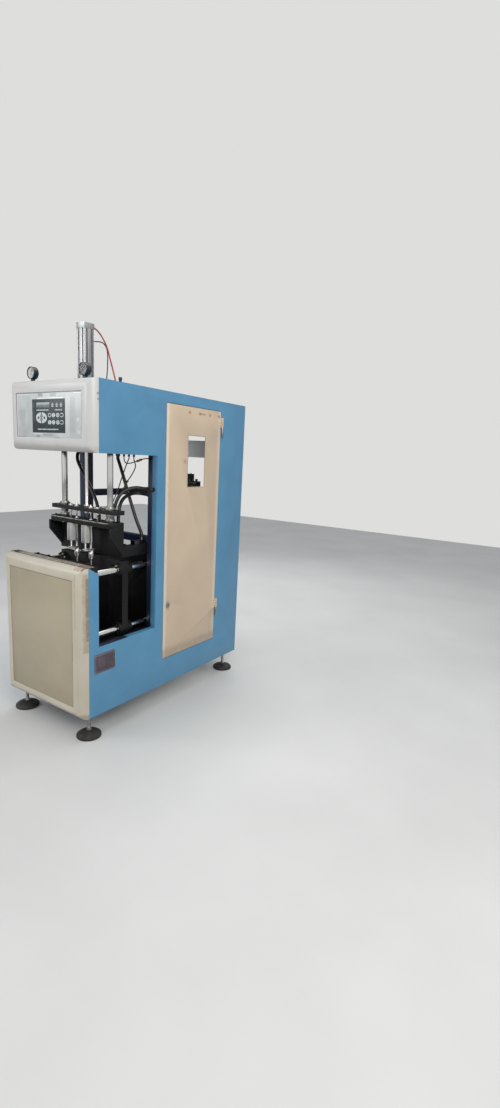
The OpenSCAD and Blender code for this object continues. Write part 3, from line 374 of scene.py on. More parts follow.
def enamel(name, main, shade, chipped, marks=(), roughness=0.38, chip_start=0.14,
           smudge_scale=6.0, contrast=0.5, rust=0.0, inner=None, coat=0.15, gloss=0.5):
    """Sprayed paint: slow changes of tone, orange peel, worn places, painted shade and highlights,
    and chipped edges.
    """
    material, tree, shader, where = new_material(name, Coat_Weight=coat, Coat_Roughness=0.25,
                                                 Specular_IOR_Level=gloss)
    clouds = noise(tree, where, smudge_scale, 7.0, 0.5, 0.4)
    colour = ramp(tree, clouds, 0.5 - contrast * 0.5, 0.5 + contrast * 0.5, shade, main)
    # painted shade: dark blue on the side panels' inner faces and the left front lip, but not on
    # the right lips that face the front
    if inner:
        within = patch(tree, where, (-SHEET_INSIDE, -1, 0), (SHEET_INSIDE, 1, 3), HAIRLINE)
        normal = step(tree, "ShaderNodeNewGeometry").outputs["Normal"]
        backward = vector_step(tree, "DOT_PRODUCT", normal, (0, 1, 0))["Value"]
        to_front = math_step(tree, "GREATER_THAN", 0.0, backward)
        at_lip = patch(tree, where, (LIP_START, -1, 0), (0.4, 1, 3), HAIRLINE)
        lips = math_step(tree, "MULTIPLY", to_front, at_lip)
        unlipped = math_step(tree, "SUBTRACT", 1.0, lips)
        colour = over(tree, colour, inner, math_step(tree, "MULTIPLY", within, unlipped))
    if rust:
        specks = remap(tree, noise(tree, where, 55.0, 9.0, 0.75), 0.60 - 0.12 * rust, 0.74)
        colour = over(tree, colour, (68, 48, 36), specks)
    colour = worn_places(tree, where, colour, marks)
    colour = over(tree, colour, chipped, wear_on_edges(tree, where, chip_start))
    tree.links.new(colour, shader.inputs["Base Color"])
    rubbed = remap(tree, clouds, 0.0, 1.0, roughness - 0.08, roughness + 0.14)
    tree.links.new(rubbed, shader.inputs["Roughness"])
    bump_from(tree, shader, noise(tree, where, 420.0, 2.0), 0.05, 0.001)
    return material


smooth_tree = bpy.data.node_groups.new("smooth_by_angle", "GeometryNodeTree")
new_socket = smooth_tree.interface.new_socket
new_socket("Geometry", in_out="INPUT", socket_type="NodeSocketGeometry")
angle_socket = new_socket("Angle", in_out="INPUT", socket_type="NodeSocketFloat")
angle_socket.default_value = math.radians(35)
new_socket("Geometry", in_out="OUTPUT", socket_type="NodeSocketGeometry")
add = partial(step, smooth_tree)
given = add("NodeGroupInput").outputs
all_smooth = add("GeometryNodeSetShadeSmooth", {"Geometry": given["Geometry"]})
fold = add("GeometryNodeInputMeshEdgeAngle")
steeper = add("FunctionNodeCompare", {0: fold, 1: given["Angle"]}, data_type="FLOAT",
              operation="GREATER_THAN")
edges_sharp = add("GeometryNodeSetShadeSmooth", {
    "Geometry": all_smooth, "Selection": steeper, "Shade Smooth": False}, domain="EDGE")
add("NodeGroupOutput", {"Geometry": edges_sharp})


def finish(names, material, edge=0.0006):
    """Gives CAD nodes their material, broken edges of that width, and smooth curved faces."""
    for name in names.split():
        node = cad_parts[name]
        node.data.materials.clear()
        node.data.materials.append(material)
        weld = node.modifiers.new("weld", "WELD")
        weld.merge_threshold = 0.00001
        if edge:
            flatten = node.modifiers.new("flatten", "DECIMATE")
            flatten.decimate_type = "DISSOLVE"
            flatten.angle_limit = math.radians(0.4)
            rounding = node.modifiers.new("broken_edges", "BEVEL")
            rounding.width = edge
            rounding.segments = 2
            rounding.limit_method = "ANGLE"
            rounding.angle_limit = math.radians(35)
        smooth = node.modifiers.new("smooth", "NODES")
        smooth.node_group = smooth_tree


BLUE, BLUE_SHADE, INSIDE_SHADE_BLUE = (84, 142, 178), (74, 131, 168), (24, 31, 62)
# the dark blue inside the side panels is painted shade
finish("side_panel_right side_panel_left", enamel(
    "blue_enamel", BLUE, BLUE_SHADE, (52, 60, 68), roughness=0.42, inner=INSIDE_SHADE_BLUE))
finish("top_cover", enamel("cover_enamel", BLUE, (80, 136, 172), (60, 70, 78), roughness=0.42))

# Welded frame. Posts and rails of 40 mm square steel tube, welded where they meet and
# painted dark blue all over.
finish("frame_posts frame_side_rails frame_cross_rails", enamel(
    "frame_enamel", (26, 36, 70), (17, 24, 50), (70, 72, 78), roughness=0.45), edge=0.002)

# Head front. Rolled and mitred steel surround, painted off-white, with a flat inset
# panel of light grey that has been wiped with thinner and has gone cloudy.


def front_mark(x0, x1, z0, z1, *look):
    """A mark of wear, dirt, painted shade or painted highlight on a face that looks to the front.
    """
    return (x0, -0.70, z0), (x1, -0.54, z1), *look


rust_spot = ((138, 104, 78), 0.8, 0.003, 0.0016, 200.0)
head_marks = (
    ((0.322, -0.568, 1.748), (0.34, -0.560, 1.754), *rust_spot),
    ((0.322, -0.570, 1.772), (0.34, -0.560, 1.780), *rust_spot),
    front_mark(-0.32, 0.32, 1.49, 1.512, (160, 152, 145), 0.5, 0.022, 0.004),
    front_mark(-0.31, -0.20, 1.60, 1.80, (206, 200, 198), 0.5, 0.05, 0.01, 14.0))
finish("head_surround", enamel(
    "white_enamel", (208, 207, 204), (194, 194, 192), (150, 138, 122), head_marks,
    roughness=0.36, smudge_scale=3.0), edge=0.0005)
# the thin dark lines along the inset panel's edges are painted shade, and the thin light lines
# inside them and above and below the keypad are painted highlights; the other marks are cloudiness
cloud_and_edge_light_marks = [front_mark(*row) for row in (
    (-0.2590, -0.2560, 1.566, 1.778, (240, 238, 236), 0.85, 0.0014),
    (-0.265, -0.2605, 1.555, 1.790, (98, 92, 90), 0.9, 0.0010),
    (-0.256, -0.160, 1.7765, 1.7790, (244, 244, 242), 0.85, 0.0014),
    (0.200, 0.254, 1.7765, 1.7790, (244, 244, 242), 0.85, 0.0014),
    (-0.265, 0.258, 1.7820, 1.7865, (104, 102, 100), 0.85, 0.0010, 0.0004, 30.0),
    (-0.262, -0.190, 1.5605, 1.5640, (150, 144, 142), 0.7, 0.0014),
    (0.2600, 0.2645, 1.60, 1.77, (158, 160, 160), 0.6, 0.0016, 0.0006, 30.0),
    (-0.087, 0.121, 1.7545, 1.7575, (244, 246, 246), 1.0, 0.0015),
    (-0.073, -0.042, 1.768, 1.780, (112, 114, 116), 0.6, 0.006, 0.003, 120.0),
    (0.026, 0.065, 1.768, 1.777, (140, 142, 144), 0.55, 0.006, 0.003, 120.0),
    (-0.124, -0.047, 1.5785, 1.5815, (238, 239, 238), 0.85, 0.002),
    (-0.092, -0.070, 1.564, 1.571, (120, 120, 124), 0.6, 0.004, 0.002, 120.0),
    (-0.036, 0.042, 1.571, 1.577, (158, 152, 166), 0.6, 0.003, 0.0015, 90.0),
    (0.060, 0.093, 1.557, 1.562, (116, 118, 122), 0.6, 0.004, 0.002, 120.0),
    (0.183, 0.206, 1.60, 1.75, (168, 173, 174), 0.6, 0.014, 0.005, 40.0),
    (0.150, 0.165, 1.58, 1.76, (206, 212, 212), 0.5, 0.010, 0.004, 40.0),
    (0.228, 0.240, 1.645, 1.656, (226, 229, 228), 0.7, 0.005, 0.002),
    (0.234, 0.246, 1.586, 1.598, (228, 230, 229), 0.7, 0.005, 0.002),
    (0.240, 0.260, 1.541, 1.551, (230, 231, 230), 0.7, 0.005, 0.002),
    (-0.227, -0.193, 1.625, 1.70, (168, 166, 166), 0.5, 0.016, 0.005, 40.0),
    (-0.165, -0.140, 1.60, 1.76, (180, 180, 180), 0.5, 0.016, 0.005, 30.0),
    (-0.26, 0.26, 1.790, 1.796, (128, 128, 126), 0.6, 0.002, 0.0006, 60.0))]
finish("head_panel", enamel(
    "panel_enamel", (204, 208, 207), (184, 187, 188), (140, 140, 138), cloud_and_edge_light_marks,
    roughness=0.34, smudge_scale=9.0, contrast=0.35), edge=0.0004)

# Membrane keypad. Printed polyester film glued on the panel: a display, two half-moon
# keys, eight round keys and three small ones, printed white on dark grey.
finish("control_overlay", mottled("keypad_film", (34, 45, 49), (43, 54, 58), 60.0, 0.45),
       edge=0.0002)
white_print = mottled("white_print", (186, 196, 198), (216, 222, 222), 90.0, 0.4)
dim_print = mottled("dim_print", (96, 110, 113), (116, 130, 132), 90.0, 0.4)
dark_print = mottled("dark_print", (24, 33, 37), (32, 42, 46), 90.0, 0.45)


def rounded(cx, cz, width, height, radius=0.001):
    """Corner-rounded rectangle as a list of (x, z) points."""
    points = []
    for corner, (sx, sz) in enumerate(((1, 1), (-1, 1), (-1, -1), (1, -1))):
        for i in range(5):
            a = math.radians(90 * corner + 90 * i / 4)
            points.append((cx + sx * (width / 2 - radius) + radius * math.cos(a),
                           cz + sz * (height / 2 - radius) + radius * math.sin(a)))
    return points


def arc_outline(cx, cz, wide, high, band, start, sweep, steps=18):
    """Band of an ellipse ring from the angle start through sweep, as (x, z) points."""
    outer, inner = [], []
    for i in range(steps + 1):
        a = math.radians(start + sweep * i / steps)
        outer.append((cx + wide * math.cos(a), cz + high * math.sin(a)))
        inner.append((cx + (wide - band) * math.cos(a), cz + (high - band) * math.sin(a)))
    return outer + inner[::-1]


def front_plates(name, outlines, back_y, front_y, material):
    """Flat plates that face the operator, one for each (x, z) outline, in one mesh."""
    work = bmesh.new()
    for outline in outlines:
        back = [work.verts.new((x, back_y, z)) for x, z in outline]
        front = [work.verts.new((x, front_y, z)) for x, z in outline]
        count = len(outline)
        for i in range(count):
            after = (i + 1) % count
            work.faces.new((back[i], back[after], front[after], front[i]))
        work.faces.new(front)
        work.faces.new(back[::-1])
    bmesh.ops.recalc_face_normals(work, faces=work.faces)
    piece(name, mesh_of(work, name), material, "machine")


film_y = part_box("control_overlay")[0].y


def keypad_print(name, outlines, material, proud=0.0003):
    front_plates(name, outlines, film_y + 0.0002, film_y - proud, material)


moon_x, moon_z, moon_wide, moon_high, moon_gap = -0.050, 1.660, 0.045, 0.027, 0.0035
half_moons = [[(moon_x + side * (moon_gap + (moon_wide - moon_gap) * math.cos(math.radians(a))),
                moon_z + moon_high * math.sin(math.radians(a))) for a in range(-90, 91, 10)]
              for side in (1, -1)]
keypad_print("keypad_half_moons", half_moons, white_print)
arrows = []
for side in (1, -1):
    x, tall_x, tall_half = moon_x + side * 0.026, moon_x + side * 0.0095, side * 0.003
    arrows += [[(x - side * 0.010, moon_z), (x, moon_z + 0.008), (x, moon_z - 0.008)],
               [(x, moon_z + 0.008), (x + side * 0.006, moon_z), (x, moon_z - 0.008)]]
    arrows += [[(tall_x, moon_z + up * 0.018), (tall_x - tall_half, moon_z + up * 0.004),
                (tall_x + tall_half, moon_z + up * 0.004)] for up in (1, -1)]
keypad_print("keypad_arrows", arrows, dark_print, 0.0005)

key_wide, key_high = 0.0135, 0.0105
keys, key_signs = [], []
for row, z in enumerate((1.6726, 1.6376)):
    for column, x in enumerate((0.017, 0.048, 0.082, 0.113)):
        if column == 3:
            keys.append(arc_outline(x, z, key_wide, key_high, 0.0034, 150, -300))
        elif column == 0 and row == 0:
            keys += [arc_outline(x, z, key_wide, key_high, 0.0042, 90 * k, 180) for k in (1, 3)]
            key_signs.append(rounded(x + 0.001, z, 0.003, 0.009))
        else:
            keys.append([(x + key_wide * math.cos(math.radians(a)),
                          z + key_high * math.sin(math.radians(a))) for a in range(0, 360, 15)])
            if column == 1:
                key_signs += [rounded(x, z + up, 0.009, 0.0022) for up in (0.0036, -0.0036)]
            elif column == 2:
                key_signs += [arc_outline(x, z, 0.0075, 0.0055, 0.002, 90 * k, 180)
                              for k in (1, 3)]
            else:
                key_signs += [rounded(x - 0.003, z + 0.002, 0.003, 0.005),
                              rounded(x + 0.004, z - 0.003, 0.003, 0.005)]
for x, wide in ((0.041, 0.020), (0.075, 0.020), (0.1085, 0.019)):
    keys += [rounded(x, 1.7295, wide * 0.55, 0.004), rounded(x, 1.7225, wide, 0.004),
             rounded(x, 1.7155, wide * 0.7, 0.005)]
keypad_print("keypad_keys", keys, white_print)
keypad_print("keypad_key_signs", key_signs, dark_print, 0.0005)

# Display of the keypad. A clear window in the same printed film: a row of lit blocks in
# place of its figures, with a grey field under it and rows of plain bars round it.
keypad_print("display_field", [rounded(-0.032, 1.718, 0.092, 0.014)], dim_print)
block_xs = [-0.0835 + i * 0.0119 for i in range(9)]
blocks = [rounded(x, 1.7302, 0.0098, 0.0105, 0.0012) for x in block_xs]
blocks += [rounded(-0.084, 1.7205, 0.009, 0.003, 0.0008),
           rounded(-0.086, 1.7145, 0.005, 0.004, 0.0008)]
keypad_print("display_blocks", blocks, white_print)
keypad_print("display_slots", [rounded(x, 1.7302, 0.0030, 0.0042, 0.0008) for x in block_xs],
             dim_print, 0.0005)
bars = [rounded(-0.0845 + i * 0.0125, 1.698, 0.0098, 0.0052 + 0.0012 * (i % 2))
        for i in range(8)]
bars += [rounded(0.064 + i * 0.0118, 1.698, 0.0092, 0.0048 + 0.0012 * (i % 2))
         for i in range(5)]
bars += [rounded(-0.078 + i * 0.0131, 1.603, 0.0108, 0.0048 + 0.0014 * ((i * 7) % 3 == 1))
         for i in range(13)]
keypad_print("keypad_bars", bars, white_print)
faint = [rounded(-0.112, top - i * 0.0062, 0.006, 0.0036)
         for top, count in ((1.733, 4), (1.693, 9)) for i in range(count)]
faint += [rounded(0.052 + i * 0.030, 1.6552, 0.012, 0.0026) for i in range(2)]
keypad_print("keypad_faint_marks", faint, dim_print)

# Base front. The same kind of rolled surround, painted cream, round a flat cream panel,
# and a flat strip behind its top edge where the paint has worn through to rust.
base_wear_and_highlight_marks = (
    front_mark(0.262, 0.318, 0.926, 0.94, (132, 90, 66), 0.8, 0.007, 0.004, 90.0),
    ((0.3255, -0.66, 0.50), (0.34, -0.63, 0.90), (150, 132, 108), 0.6, 0.010, 0.004, 17.0),
    ((0.3255, -0.645, 0.56), (0.34, -0.63, 0.88), (124, 104, 82), 0.7, 0.004, 0.0025, 60.0),
    front_mark(0.284, 0.286, 0.62, 0.90, (150, 138, 118), 0.5, 0.002, 0.001, 50.0),
    front_mark(-0.33, 0.33, 0.12, 0.150, (112, 100, 88), 0.5, 0.014, 0.005, 40.0),
    # the lighter band along the surround's top edge is a painted highlight
    front_mark(-0.30, 0.30, 0.926, 0.94, (208, 202, 190), 0.5, 0.004, 0.002, 50.0))
finish("base_surround", enamel(
    "cream_enamel", (200, 193, 177), (186, 177, 159), (122, 106, 88), base_wear_and_highlight_marks,
    roughness=0.4, smudge_scale=4.0, chip_start=0.13), edge=0.0005)
face_marks_and_painted_shade = (
    # the dark slit is painted, not cut: a near-black strip of painted shade; the thin dark lines
    # along the panel's right and top edges are painted shade
    front_mark(0.2595, 0.266, 0.448, 0.544, (26, 22, 18), 0.95, 0.0012, 0.0004, 20.0),
    front_mark(0.2610, 0.266, 0.18, 0.88, (112, 102, 84), 0.7, 0.002, 0.0008, 20.0),
    front_mark(-0.266, 0.266, 0.8640, 0.872, (112, 102, 86), 0.7, 0.0016, 0.0006, 20.0),
    front_mark(-0.27, 0.26, 0.18, 0.24, (158, 146, 120), 0.4, 0.05, 0.008, 12.0))
finish("base_panel", enamel(
    "cream_panel", (178, 167, 143), (158, 147, 124), (120, 108, 92), face_marks_and_painted_shade,
    roughness=0.42, smudge_scale=2.5), edge=0.0004)
strip_marks = (
    ((0.25, -0.67, 0.93), (0.33, -0.58, 0.94), (118, 78, 56), 0.7, 0.006, 0.004, 70.0),
    ((-0.33, -0.67, 0.93), (-0.262, -0.58, 0.94), (30, 25, 22), 0.9, 0.003, 0.001, 60.0))
finish("base_top_strip", enamel(
    "worn_enamel", (186, 178, 162), (150, 141, 126), (66, 50, 40), strip_marks,
    roughness=0.5, rust=1.3, chip_start=0.06), edge=0.0004)

# Door. Tray of 2 mm sheet painted beige, hung on two lift-off hinges, with a window cut
# roughly through it, old screw holes above it and a quarter-turn lock.


def side_mark(u0, u1, z0, z1, *look):
    """A mark of wear, dirt, painted shade or painted light on the right side, u in mm from the
    machine's front.
    """
    return (0.30, FRONT + u0 / 1000, z0), (0.40, FRONT + u1 / 1000, z1), *look


door_wear_and_painted_light = [side_mark(*row) for row in (
    (594, 612, 0.29, 1.79, (222, 208, 190), 0.7, 0.010, 0.002, 25.0),
    # the light band along the door's rear edge is painted light
    (1072, 1090, 0.29, 1.79, (218, 203, 184), 0.6, 0.010, 0.002, 25.0),
    (596, 1096, 0.29, 0.33, (150, 132, 112), 0.5, 0.03, 0.008, 20.0),
    (781, 945, 1.318, 1.626, (172, 150, 124), 0.6, 0.004, 0.0014, 90.0),
    (625, 641, 0.60, 0.64, (150, 134, 116), 0.5, 0.014, 0.003, 60.0))]
# the old screw holes are not cut: each is a dark dot of painted shade in a rusty ring, and so is
# the hole by the lock further down
for u in (789, 883, 980, 1072):
    door_wear_and_painted_light += [
        side_mark(u - 2, u + 5, 1.752, 1.757, (172, 124, 84), 0.85, 0.011, 0.0022, 110.0),
        side_mark(u - 1.5, u + 1.5, 1.7535, 1.7565, (34, 24, 17), 1.0, 0.003, 0.0003, 90.0)]
door_wear_and_painted_light += [side_mark(*row) for row in (
    (883, 935, 1.751, 1.757, (120, 88, 62), 0.6, 0.003, 0.0015, 120.0),
    (755.5, 760.5, 1.4695, 1.4745, (32, 24, 18), 0.95, 0.0016, 0.0002, 90.0),
    (750, 768, 1.462, 1.482, (178, 144, 112), 0.5, 0.008, 0.002, 90.0))]
finish("door", enamel(
    "beige_enamel", (205, 186, 162), (192, 172, 148), (112, 92, 72), door_wear_and_painted_light,
    roughness=0.42, smudge_scale=3.0), edge=0.0005)

# Feet. Rubber pads on stems of zinc-plated steel with a rolled thread, turned by hand to
# level the machine and held by a nut.
finish("foot_pads", mottled(
    "foot_rubber", (30, 30, 30), (62, 59, 54), 30.0, 0.7, 0.4, 0.75, 8.0), edge=0.001)


def bare_metal(name, light, dark, roughness=0.3, brushing=(1, 1, 1), scale=60.0, bump=0.05,
               marks=(), metallic=1.0):
    """Machined or drawn metal: fine streaks along the way it was worked, and dull patches."""
    material, tree, shader, where = new_material(name, Metallic=metallic)
    grain = step(tree, "ShaderNodeMapping", {"Vector": where, "Scale": brushing})
    streaks = noise(tree, grain, scale)
    colour = worn_places(tree, where, ramp(tree, streaks, 0.3, 0.7, dark, light), marks)
    tree.links.new(colour, shader.inputs["Base Color"])
    dulled = remap(tree, streaks, 0.0, 1.0, roughness * 0.75, roughness * 1.35)
    tree.links.new(dulled, shader.inputs["Roughness"])
    bump_from(tree, shader, streaks, bump, 0.0005)
    return material


zinc = bare_metal("zinc_plating", (176, 176, 172), (120, 120, 118), roughness=0.35)
finish("foot_stems rod_nuts clamp_cylinder_rods hinge_leaves door_lock", zinc, edge=0.0007)


def begin_tree(name, rows):
    """A tree with named inputs. Gives it, the inputs' identifiers and what they supply."""
    tree = bpy.data.node_groups.new(name, "GeometryNodeTree")
    known = {}
    for title, kind, value in rows:
        socket = tree.interface.new_socket(title, in_out="INPUT",
                                           socket_type="NodeSocket" + kind)
        if value is not None:
            socket.default_value = value
        known[title] = socket.identifier
    tree.interface.new_socket("Result", in_out="OUTPUT", socket_type="NodeSocketGeometry")
    return tree, known, step(tree, "NodeGroupInput").outputs


def end_tree(tree, copies, finish_input):
    """Makes the tree's copies real, gives them their finish and hands them out."""
    real = step(tree, "GeometryNodeRealizeInstances", {"Geometry": copies})
    done = step(tree, "GeometryNodeSetMaterial", {"Geometry": real, "Material": finish_input})
    step(tree, "NodeGroupOutput", {"Result": done})


def plain_mesh(obj):
    """The object's shape as it stands, as a mesh of its own."""
    depsgraph = bpy.context.evaluated_depsgraph_get()
    return bpy.data.meshes.new_from_object(obj.evaluated_get(depsgraph), depsgraph=depsgraph)


def grown(tree, known, places, **values):
    """Runs a tree on a set of places and gives its result as a plain mesh."""
    seeds = bpy.data.meshes.new("places")
    seeds.from_pydata([tuple(p) for p in places], [], [])
    holder = placed("places", seeds)
    growth = holder.modifiers.new("growth", "NODES")
    growth.node_group = tree
    for title, value in values.items():
        growth[known[title.replace("_", " ")]] = value
    mesh = plain_mesh(holder)
    holder.modifiers.remove(growth)
    bpy.data.objects.remove(holder)
    return mesh


thread_tree, thread_inputs, given = begin_tree("rolled_thread", (
    ("Places", "Geometry", None), ("Radius", "Float", 0.008), ("Length", "Float", 0.05),
    ("Turns", "Float", 25.0), ("Ridge", "Float", 0.0009), ("Finish", "Material", None)))
add = partial(step, thread_tree)
winding = add("GeometryNodeCurveSpiral", {
    "Resolution": 14, "Rotations": given["Turns"], "Start Radius": given["Radius"],
    "End Radius": given["Radius"], "Height": given["Length"]})
ridge = add("GeometryNodeCurvePrimitiveCircle", {"Resolution": 4, "Radius": given["Ridge"]})
wound = add("GeometryNodeCurveToMesh", {
    "Curve": winding, "Profile Curve": ridge, "Fill Caps": True})
end_tree(thread_tree, add("GeometryNodeInstanceOnPoints", {
    "Points": given["Places"], "Instance": wound}), given["Finish"])
foot_places = in_metres([(x, u, 42) for x in (-274, 274) for u in (90, 1290)])
foot_threads = grown(thread_tree, thread_inputs, foot_places, Radius=0.0079, Length=0.080,
                     Turns=36.0, Ridge=0.0009, Finish=zinc)
piece("foot_threads", foot_threads, zinc, "machine")

# Screws and bolts. Hexagon and socket heads of zinc-plated or blackened steel, most on
# a washer, each turned as the spanner left it.
screw_tree, screw_inputs, given = begin_tree("screw_heads", (
    ("Places", "Geometry", None), ("Width", "Float", 0.010), ("Height", "Float", 0.006),
    ("Sides", "Int", 6), ("Socket share", "Float", 0.5), ("With socket", "Bool", False),
    ("Washer width", "Float", 0.016), ("With washer", "Bool", True),
    ("Points to", "Vector", (0.0, 0.0, 1.0)), ("Seed", "Int", 7), ("Finish", "Material", None)))
add = partial(step, screw_tree)
times = partial(math_step, screw_tree, "MULTIPLY")
head = add("GeometryNodeMeshCylinder", {
    "Vertices": given["Sides"], "Radius": times(given["Width"], 0.5), "Depth": given["Height"]})
topped = add("GeometryNodeExtrudeMesh", {
    "Mesh": head, "Selection": head.outputs["Top"],
    "Offset Scale": times(given["Height"], 0.14)})
eased = add("GeometryNodeScaleElements", {
    "Geometry": topped, "Selection": topped.outputs["Top"], "Scale": 0.86})
rim = add("GeometryNodeExtrudeMesh", {
    "Mesh": eased, "Selection": topped.outputs["Top"], "Offset Scale": 0.00002})
narrowed = add("GeometryNodeScaleElements", {
    "Geometry": rim, "Selection": rim.outputs["Top"], "Scale": given["Socket share"]})
sunk = add("GeometryNodeExtrudeMesh", {
    "Mesh": narrowed, "Selection": rim.outputs["Top"],
    "Offset Scale": times(given["Height"], -0.6)})
body = add("GeometryNodeSwitch", {
    "Switch": given["With socket"], "False": eased, "True": sunk}, input_type="GEOMETRY")
lift = add("ShaderNodeCombineXYZ", {"Z": times(given["Height"], 0.5)})
standing = add("GeometryNodeTransform", {"Geometry": body, "Translation": lift})
washer = add("GeometryNodeMeshCylinder", {
    "Vertices": 24, "Radius": times(given["Washer width"], 0.5),
    "Depth": times(given["Height"], 0.3)})
washed = add("GeometryNodeSwitch", {
    "Switch": given["With washer"], "True": washer}, input_type="GEOMETRY")
both = add("GeometryNodeJoinGeometry")
for half in (standing, washed):
    screw_tree.links.new(half.outputs[0], both.inputs[0])
facing = add("FunctionNodeAlignRotationToVector", {"Vector": given["Points to"]}, axis="Z")
chance = add("FunctionNodeRandomValue", {"Seed": given["Seed"]}, data_type="FLOAT")
chance.inputs[3].default_value = 2 * math.pi
spin = add("ShaderNodeCombineXYZ", {"Z": chance.outputs[1]})
spun = add("FunctionNodeEulerToRotation", {0: spin})
turned = add("FunctionNodeRotateRotation", {0: facing, 1: spun}, rotation_space="LOCAL")
end_tree(screw_tree, add("GeometryNodeInstanceOnPoints", {
    "Points": given["Places"], "Instance": both, "Rotation": turned}), given["Finish"])


def take_up(work, mesh):
    """Adds a mesh to what is being built up in work."""
    work.from_mesh(mesh)
    bpy.data.meshes.remove(mesh)


def screws(name, rows, material, body_name="machine"):
    """Screw heads in one mesh. A row is kind, width, height, direction and places, in mm."""
    work = bmesh.new()
    for kind, width, height, towards, places in rows:
        is_hex = kind == "hex"
        take_up(work, grown(
            screw_tree, screw_inputs, in_metres(places), Width=width / 1000,
            Height=height / 1000, Sides=6 if is_hex else 20, Socket_share=0.55,
            With_socket=not is_hex, Washer_width=width * 1.7 / 1000, With_washer=is_hex,
            Points_to=towards, Seed=len(places), Finish=material))
    piece(name, mesh_of(work, name), material, body_name)


UP, DOWN, FORWARD, BACK = (0, 0, 1), (0, 0, -1), (0, -1, 0), (0, 1, 0)
TO_RIGHT, TO_LEFT = (1, 0, 0), (-1, 0, 0)
bright_screw = bare_metal("bright_screw", (206, 206, 202), (160, 160, 157), roughness=0.24)
black_screw = bare_metal("black_screw", (54, 53, 52), (30, 30, 31), roughness=0.32)

# Name plate. A thin bare plate on the base's right side with a raised rim, held by four
# rivets. Its print isn't copied, so its middle stays dull and bare.
plate_marks = (
    side_mark(96, 211, 0.374, 0.455, (92, 82, 94), 0.8, 0.002, 0.0008, 40.0),
    side_mark(110, 150, 0.40, 0.44, (120, 108, 112), 0.5, 0.010, 0.003, 60.0))
brushed_plate = bare_metal("brushed_plate", (136, 128, 132), (112, 104, 110), roughness=0.4,
                           brushing=(1, 0.03, 1), scale=260, marks=plate_marks)
finish("name_plate", brushed_plate, edge=0.0003)
rim_x, rim_height = 0.32935, 0.0009
work = bmesh.new()
for u0, u1, z0, z1 in (
        (0.0862, 0.2208, 0.4630, 0.4650), (0.0862, 0.2208, 0.3640, 0.3660),
        (0.0862, 0.0882, 0.366, 0.463), (0.2188, 0.2208, 0.366, 0.463)):
    middle = Matrix.Translation((rim_x, FRONT + (u0 + u1) / 2, (z0 + z1) / 2))
    bmesh.ops.create_cube(
        work, size=1.0, matrix=middle @ Matrix.Diagonal((rim_height, u1 - u0, z1 - z0, 1)))
piece("plate_rim", mesh_of(work, "plate_rim"), brushed_plate, "machine")
screws("plate_rivets", [
    ("cap", 4.6, 1.2, TO_RIGHT, [(329, u, z) for u in (90.5, 216.5) for z in (368.5, 460.5)])],
    bright_screw)

# Clamp unit. Black-painted steel plates that run on four hard-chromed tie bars, driven
# by the cylinder behind them.
BLACK, BLACK_SHADE = (13, 13, 15), (7, 7, 9)
black_enamel = enamel("black_enamel", BLACK, BLACK_SHADE, (112, 110, 106), roughness=0.5,
                      chip_start=0.15, coat=0.02, gloss=0.28)
# the drip tray's black is painted shade: the sheet fills the bottom of the mould space with dark
finish("front_platen rear_platen moving_platen drip_tray support_beams equipment_shelf "
       "head_plate", black_enamel, edge=0.0012)
hard_chrome = bare_metal("hard_chrome", (212, 212, 210), (190, 190, 188), roughness=0.13,
                         brushing=(1, 1, 0.02), scale=120, bump=0.01)
finish("tie_bars guide_rods piston_rod clamp_rod", hard_chrome, edge=0.0012)
cast_aluminium = bare_metal("cast_aluminium", (206, 206, 203), (182, 182, 180),
                            roughness=0.4, scale=90)
finish("clamp_cylinder_tube clamp_cylinder_caps", cast_aluminium, edge=0.0008)
turned_steel = bare_metal("turned_steel", (170, 168, 164), (128, 126, 122), scale=110)
finish("platen_bushes rod_bushes", turned_steel, edge=0.0005)


def bolt_circle(radius):
    """Four places on a circle, as steps from its middle along the two ways of its face."""
    return [(radius * math.cos(math.radians(a)), radius * math.sin(math.radians(a)))
            for a in (45, 135, 225, 315)]


screws("clamp_bolts", [
    ("hex", 17, 8, UP, [(x, 145, 918) for x in (-215, -120, 120, 215)]),
    ("cap", 14, 9, BACK, [(x, 620, z) for x in (-150, 150) for z in (560, 640, 764, 844)]),
    ("hex", 19, 9, UP, [(x, u, 998) for x in (-230, 230) for u in (380, 580)])], black_screw)
screws("moving_plate_bolts", [
    ("cap", 12, 8, FORWARD, [(x + across, 317, z + up) for across, up in bolt_circle(29)])
    for x in (-230, 230) for z in (532, 872)], black_screw, "clamp")

# Sealing head. A thick black bracket over the mould space carries two slotted sealing
# cylinders; their yokes push the blow rods and nozzles down on the bottle necks.
finish("bracket_legs", black_enamel, edge=0.0012)
# the light line along the bracket's top front edge is a painted highlight
bracket_edge_highlight = (
    ((-0.27, -0.436, 1.1285), (0.27, -0.4285, 1.134), (158, 156, 151), 0.9, 0.0012, 0.0010,
     40.0),)
finish("seal_bracket", enamel(
    "bracket_enamel", BLACK, BLACK_SHADE, (150, 148, 143), bracket_edge_highlight, roughness=0.5,
    chip_start=0.10, coat=0.02, gloss=0.28), edge=0.0012)
finish("stretch_cylinder_tube stretch_cylinder_caps", bare_metal(
    "anodised_aluminium", (176, 177, 178), (154, 155, 157), roughness=0.42,
    brushing=(1, 1, 0.02), scale=180), edge=0.0004)
